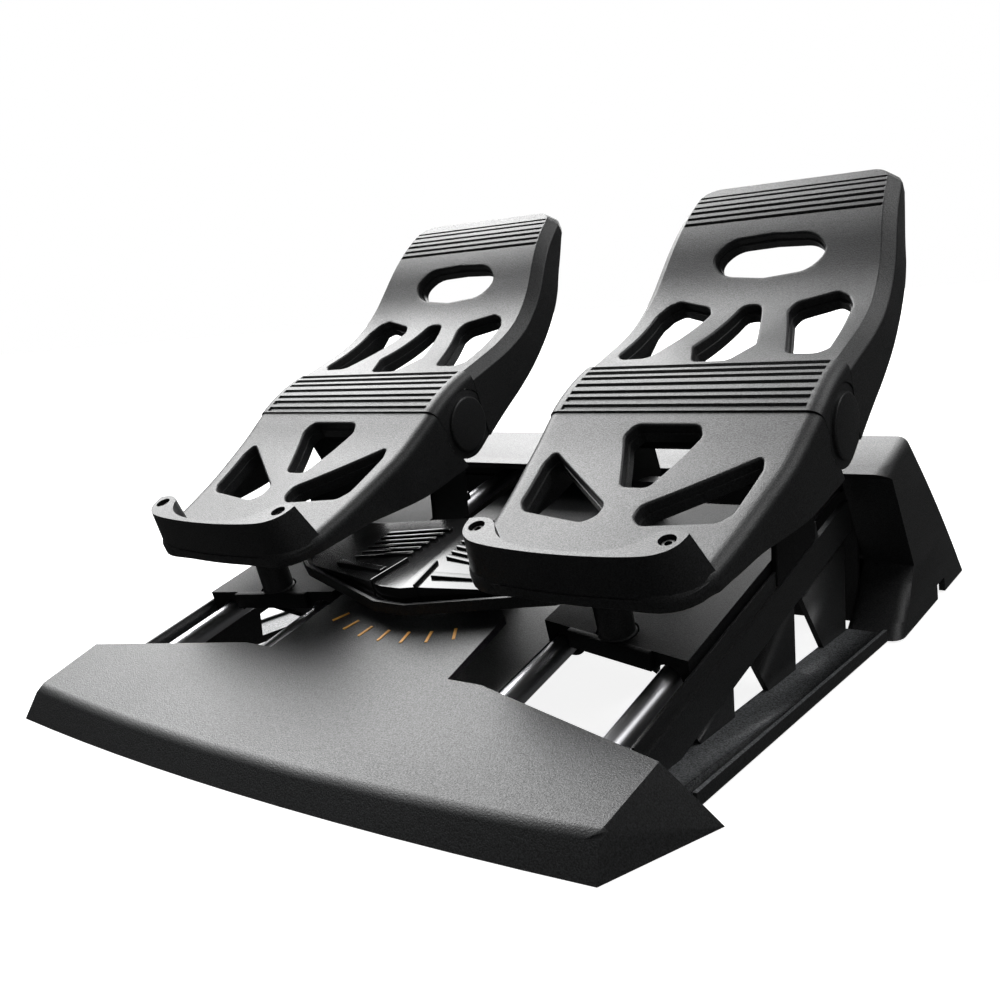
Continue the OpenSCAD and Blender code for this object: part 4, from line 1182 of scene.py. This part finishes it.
# %% Springs
BRAKE_COIL, COIL_START = (5.6, 1.0, 14, 40.8), 20.4  # radius, wire, turns, length
CENTRING_COIL, COIL_FOOT = (13.8, 1.4, 3, 11), -1.7
pair("brake_coil", lambda side: coil(*BRAKE_COIL, at_axle(side, -COIL_START) @ ALONG_X),
     "plain_steel", "toe_spring")
at = PIVOT @ Matrix.Translation((0, 0, COIL_FOOT))
piece("centring_coil", coil(*CENTRING_COIL, at), "plain_steel", "rocker_spring")
print(made_pieces[-3:])

# %% [markdown]
# The other mouldings keep the shape of their solids. Their edges are rounded to suit their
# size: a large soft edge on the deck and the hood, a small one on thin plates. The brow,
# between the deck's top and its front, is rounder than the deck's other edges.

# %% Deck
BROW_ROUND, UPWARD, FORWARD = 2.8, 0.85, -0.3


def deck_copy():
    bm = solid_copy("front_deck")
    bm.normal_update()
    brow = [e for e in bm.edges if len(e.link_faces) == 2
            and max(f.normal.z for f in e.link_faces) > UPWARD
            and min(f.normal.y for f in e.link_faces) < FORWARD]
    round_edges(bm, brow, BROW_ROUND * MM, 4, clamp=False)
    return bm


deck = piece("front_deck_moulded", deck_copy(), "deck_plastic", "front_deck")
even_light(soften(deck, 1.6, 3))
print(made_pieces[-1:])

# %% [markdown]
# The hood has a broad round edge on both sides of its top, and its back is slightly bowed.
# Its long top edges are bevelled on the copy of the solid, rows are cut across the back, and
# the rows move out by the bow.

# %% Hood
HOOD_RIDGE, HOOD_TAIL = Vector((52, 84.3)), Vector((191.1, 0.8))
HOOD_BOW, HOOD_ROUND, HOOD_WALL, HOOD_ROWS = 2.8, 5.5, 6.0, 12
LONG_EDGE, HOOD_SIDE, ON_WALL, ON_TOP = 30, 100, 0.8, 0.3


def hood_shell():
    bm = solid_copy("rear_hood")
    top_edges = []
    for e in bm.edges:
        if len(e.link_faces) == 2 and e.calc_length() > LONG_EDGE * MM and e.is_convex:
            a, b = sorted((f.normal for f in e.link_faces), key=lambda n: -abs(n.x))
            on_side = abs(e.verts[0].co.x) > HOOD_SIDE * MM
            if abs(a.x) > ON_WALL and abs(b.x) < ON_TOP < b.z and on_side:
                top_edges.append(e)
    print("hood edges rounded", len(top_edges))
    round_edges(bm, top_edges, HOOD_ROUND * MM, 5, clamp=False)
    for k in range(1, HOOD_ROWS):
        cut(bm, (0, 0, HOOD_RIDGE.y * MM * k / HOOD_ROWS), (0, 0, 1), near=CLOSE)
    slope = HOOD_TAIL - HOOD_RIDGE
    out = Vector((-slope.y, slope.x)).normalized()
    for v in bm.verts:
        place = Vector((v.co.y, v.co.z)) / MM - HOOD_RIDGE
        along = min(max(place.dot(slope) / slope.length_squared, 0), 1)
        near = min(max(1 + place.dot(out) / HOOD_WALL, 0), 1)
        move = out * HOOD_BOW * math.sin(math.pi * along) * near * MM
        v.co.y += move.x
        v.co.z += move.y
    return bm


soften(piece("hood_shell", hood_shell(), "deck_plastic", "rear_hood"), 0.8)
print(made_pieces[-1:])

# %% [markdown]
# The cover of the rocker is glossy. It is level in the middle and falls to both sides, with
# slats across each flank and a pair of fins that run to the front. Its outline is the
# solid's own.

# %% Rocker cover
COVER_LOW, COVER_EDGE, COVER_CREST, COVER_FALL = 22.0, 22.6, 29.0, 0.115
CREST_HALF, CREST_SPREAD = 2.5, 0.16
COVER_LINE = [(-5.2, -53.8), (5.2, -53.8), (64.6, -33.9), (72.9, -27.6), (72.9, 5.4), (0, 9.0),
              (-72.9, 5.4), (-72.9, -27.6), (-64.6, -33.9)]
SLAT_Y = [-26.7 + 4.5 * k for k in range(6)]
SLAT_GAP, SLAT_END, SLAT_LEAN, SLAT_WIDE, SLAT_HIGH = 2.5, 43, 0.8, 2.3, 1.3
BARS = [((11.6, -52), (8.0, -32), 1.2, 1.4), ((13, -42), (48, -33), 3.4, 1.5)]


def crest_half(y):
    """Half width of the level middle, which widens to the front."""
    return CREST_HALF + max(-y, 0) * CREST_SPREAD


def cover_height(x, y):
    return max(COVER_CREST - COVER_FALL * max(abs(x) - crest_half(y), 0), COVER_EDGE)


def bar(start, end, wide, high):
    """A slat or fin between two points, standing on the cover."""
    start, end = Vector(start), Vector(end)
    across = (end - start).normalized() * wide / 2
    across = Vector((-across.y, across.x))
    foot = (start - across, end - across, end + across, start + across)
    return block([(*p, COVER_LOW) for p in foot], (0, 0, 0), 0.4, PIVOT,
                 lambda p: cover_height(p.x, p.y) + high)


def cover_sheet():
    bm = bmesh.new()
    bm.faces.new([bm.verts.new((x, y, 0)) for x, y in COVER_LINE])
    face_up(bm)
    for side in (-1, 1):
        cut(bm, (side * CREST_HALF, 0, 0), (1, side * CREST_SPREAD, 0))
    edges = [e for e in bm.edges if e.is_boundary]
    for v in bm.verts:
        v.co.z = cover_height(v.co.x, v.co.y)
    grow_down(bm, edges, COVER_LOW)
    return placed(bm, PIVOT)


parts = [cover_sheet()]
for side in SIDES.values():
    slats = [((crest_half(y) + SLAT_GAP, y), (SLAT_END, y - SLAT_LEAN), SLAT_WIDE, SLAT_HIGH)
             for y in SLAT_Y]
    for (x0, y0), (x1, y1), wide, high in slats + BARS:
        parts.append(bar((side * x0, y0), (side * x1, y1), wide, high))
even_light(piece("rocker_shroud", joined(parts), "satin_plastic", "rocker_cover",
                 "gloss_plastic"))
print(made_pieces[-1:])

# %% [markdown]
# A thin crest on the inner edge of each beam closes the gap to the tube beside it. The front
# edge of a carriage's plate slants outward, and a lip that slants with it closes the front.
# The collar of the heel post ends in line with the plate, in front and below.

# %% Carriages and crests of the beams
COLLAR_R, COLLAR_TOP, COLLAR_LOW = 11.6, 20, 5.5
FRONT_X, FRONT_Y, FRONT_SLANT = 57.5, -122, 0.1985
LIP_ENDS, LIP_LEVELS, LIP_PROUD, LIP_DEPTH = (70.6, 109.4), (2.8, 10.05), 0.2, 2.8
CREST, CREST_LEVELS = [(125.6, -177), (126.9, -177), (126.9, -16), (125.6, -16)], (-1.5, 5.9)


def rail_block(side, corners, low, high):
    """A block laid out beside the guide tubes."""
    return block([(side * x, y, low) for x, y in corners], (0, 0, high - low), 0.3, RAILS)


def carriage_front(x):
    return FRONT_Y - (x - FRONT_X) * FRONT_SLANT


def carriage_copy(side):
    bm = solid_copy(both("carriage")[side > 0])
    to_rails = RAILS.inverted()
    for v in bm.verts:
        at = to_rails @ (v.co / MM)
        off_post = math.hypot(at.x - side * AXLE.x, at.y + POST_AT)
        if off_post < COLLAR_R and at.z < COLLAR_TOP:
            front = max(at.y, carriage_front(abs(at.x)))
            v.co = (RAILS @ Vector((at.x, front, max(at.z, COLLAR_LOW)))) * MM
    return bm


def carriage_lip(side):
    front = [(x, carriage_front(x) - LIP_PROUD) for x in LIP_ENDS]
    back = [(x, carriage_front(x) + LIP_DEPTH) for x in LIP_ENDS[::-1]]
    return rail_block(side, front + back, *LIP_LEVELS)


for node, side in zip(both("carriage"), SIDES.values()):
    dressed = piece(f"{node}_moulded", carriage_copy(side), "frame_plastic", node, "dull_plastic")
    soften(dressed, 0.7)
    piece(f"{node}_lip", carriage_lip(side), "frame_plastic", node, "dull_plastic")
pair("beam_crest", lambda side: rail_block(side, CREST, *CREST_LEVELS), "frame_plastic",
     "side_frame")
print(made_pieces[-6:])

# %% The other mouldings
MOULDED_PAIRS = {"side_frame": 0.4, "upright_inner": 0.5, "upright_outer": 0.5,
                 "pedal_frame": 0.6, "brake_sensor": 0.5}
DULL = ("upright_inner", "upright_outer", "pedal_frame")
MOULDED = {"front_crossbar": 0.6, "rear_crossbar": 0.6, "mouth_panel": 0.3,
           "rear_base_plate": 0.4, "centre_tray": 0.5, "rudder_sensor": 0.5}
for name, width in MOULDED_PAIRS.items():
    for node in both(name):
        clean_copy(node, "frame_plastic", width, "dull_plastic" if name in DULL else None)
for node, width in MOULDED.items():
    clean_copy(node, "frame_plastic", width)
clean_copy("rocker_frame", "satin_plastic", 0.5)
clean_copy("cable_grommet", "soft_rubber", 0.4)
print(len(made_pieces), "pieces so far")

# %% [markdown]
# The flats of the side strips are coarser than the legs that rise from them. The faces that
# look up at that level get a second finish that is painted paler: painted light from above.

# %% Side strips
STRIP_LOW, STRIP_HIGH, LEVEL = 4, 7, 0.9
for node in both("side_frame"):
    strip = bpy.data.objects[node + "_moulded"].data
    strip.materials.append(FINISHES["strip_plastic"])
    for polygon in strip.polygons:
        # the up-facing faces get the paler finish, which is painted light from above
        if polygon.normal.z > LEVEL and STRIP_LOW * MM < polygon.center.z < STRIP_HIGH * MM:
            polygon.material_index = 1
    print(node, "has", sum(p.material_index for p in strip.polygons), "pale faces")

# %% [markdown]
# What is left are small solids whose shape is right as it is: the marks of the scale, the
# board, the bushes, the axles, the pins and the screws of the base. They only get a finish.

# %% Finishes of the kept solids
KEPT = {"scale_orange": ["deck_ticks"], "board_green": ["circuit_board"],
        "bush_brass": both("glide_bushes") + both("axle_bushes") + ["rocker_bush"],
        "plain_steel": both("pedal_axle") + both("link_pin") + ["rocker_axle", "base_screws"]}
for slot, names in KEPT.items():
    for node in names:
        mesh = nodes[node].data
        mesh.materials.clear()
        mesh.materials.append(FINISHES[slot])
bare = [n for n, o in nodes.items() if not o.hide_render and n not in sum(KEPT.values(), [])]
print("kept", sum(len(names) for names in KEPT.values()), "without a finish", bare)
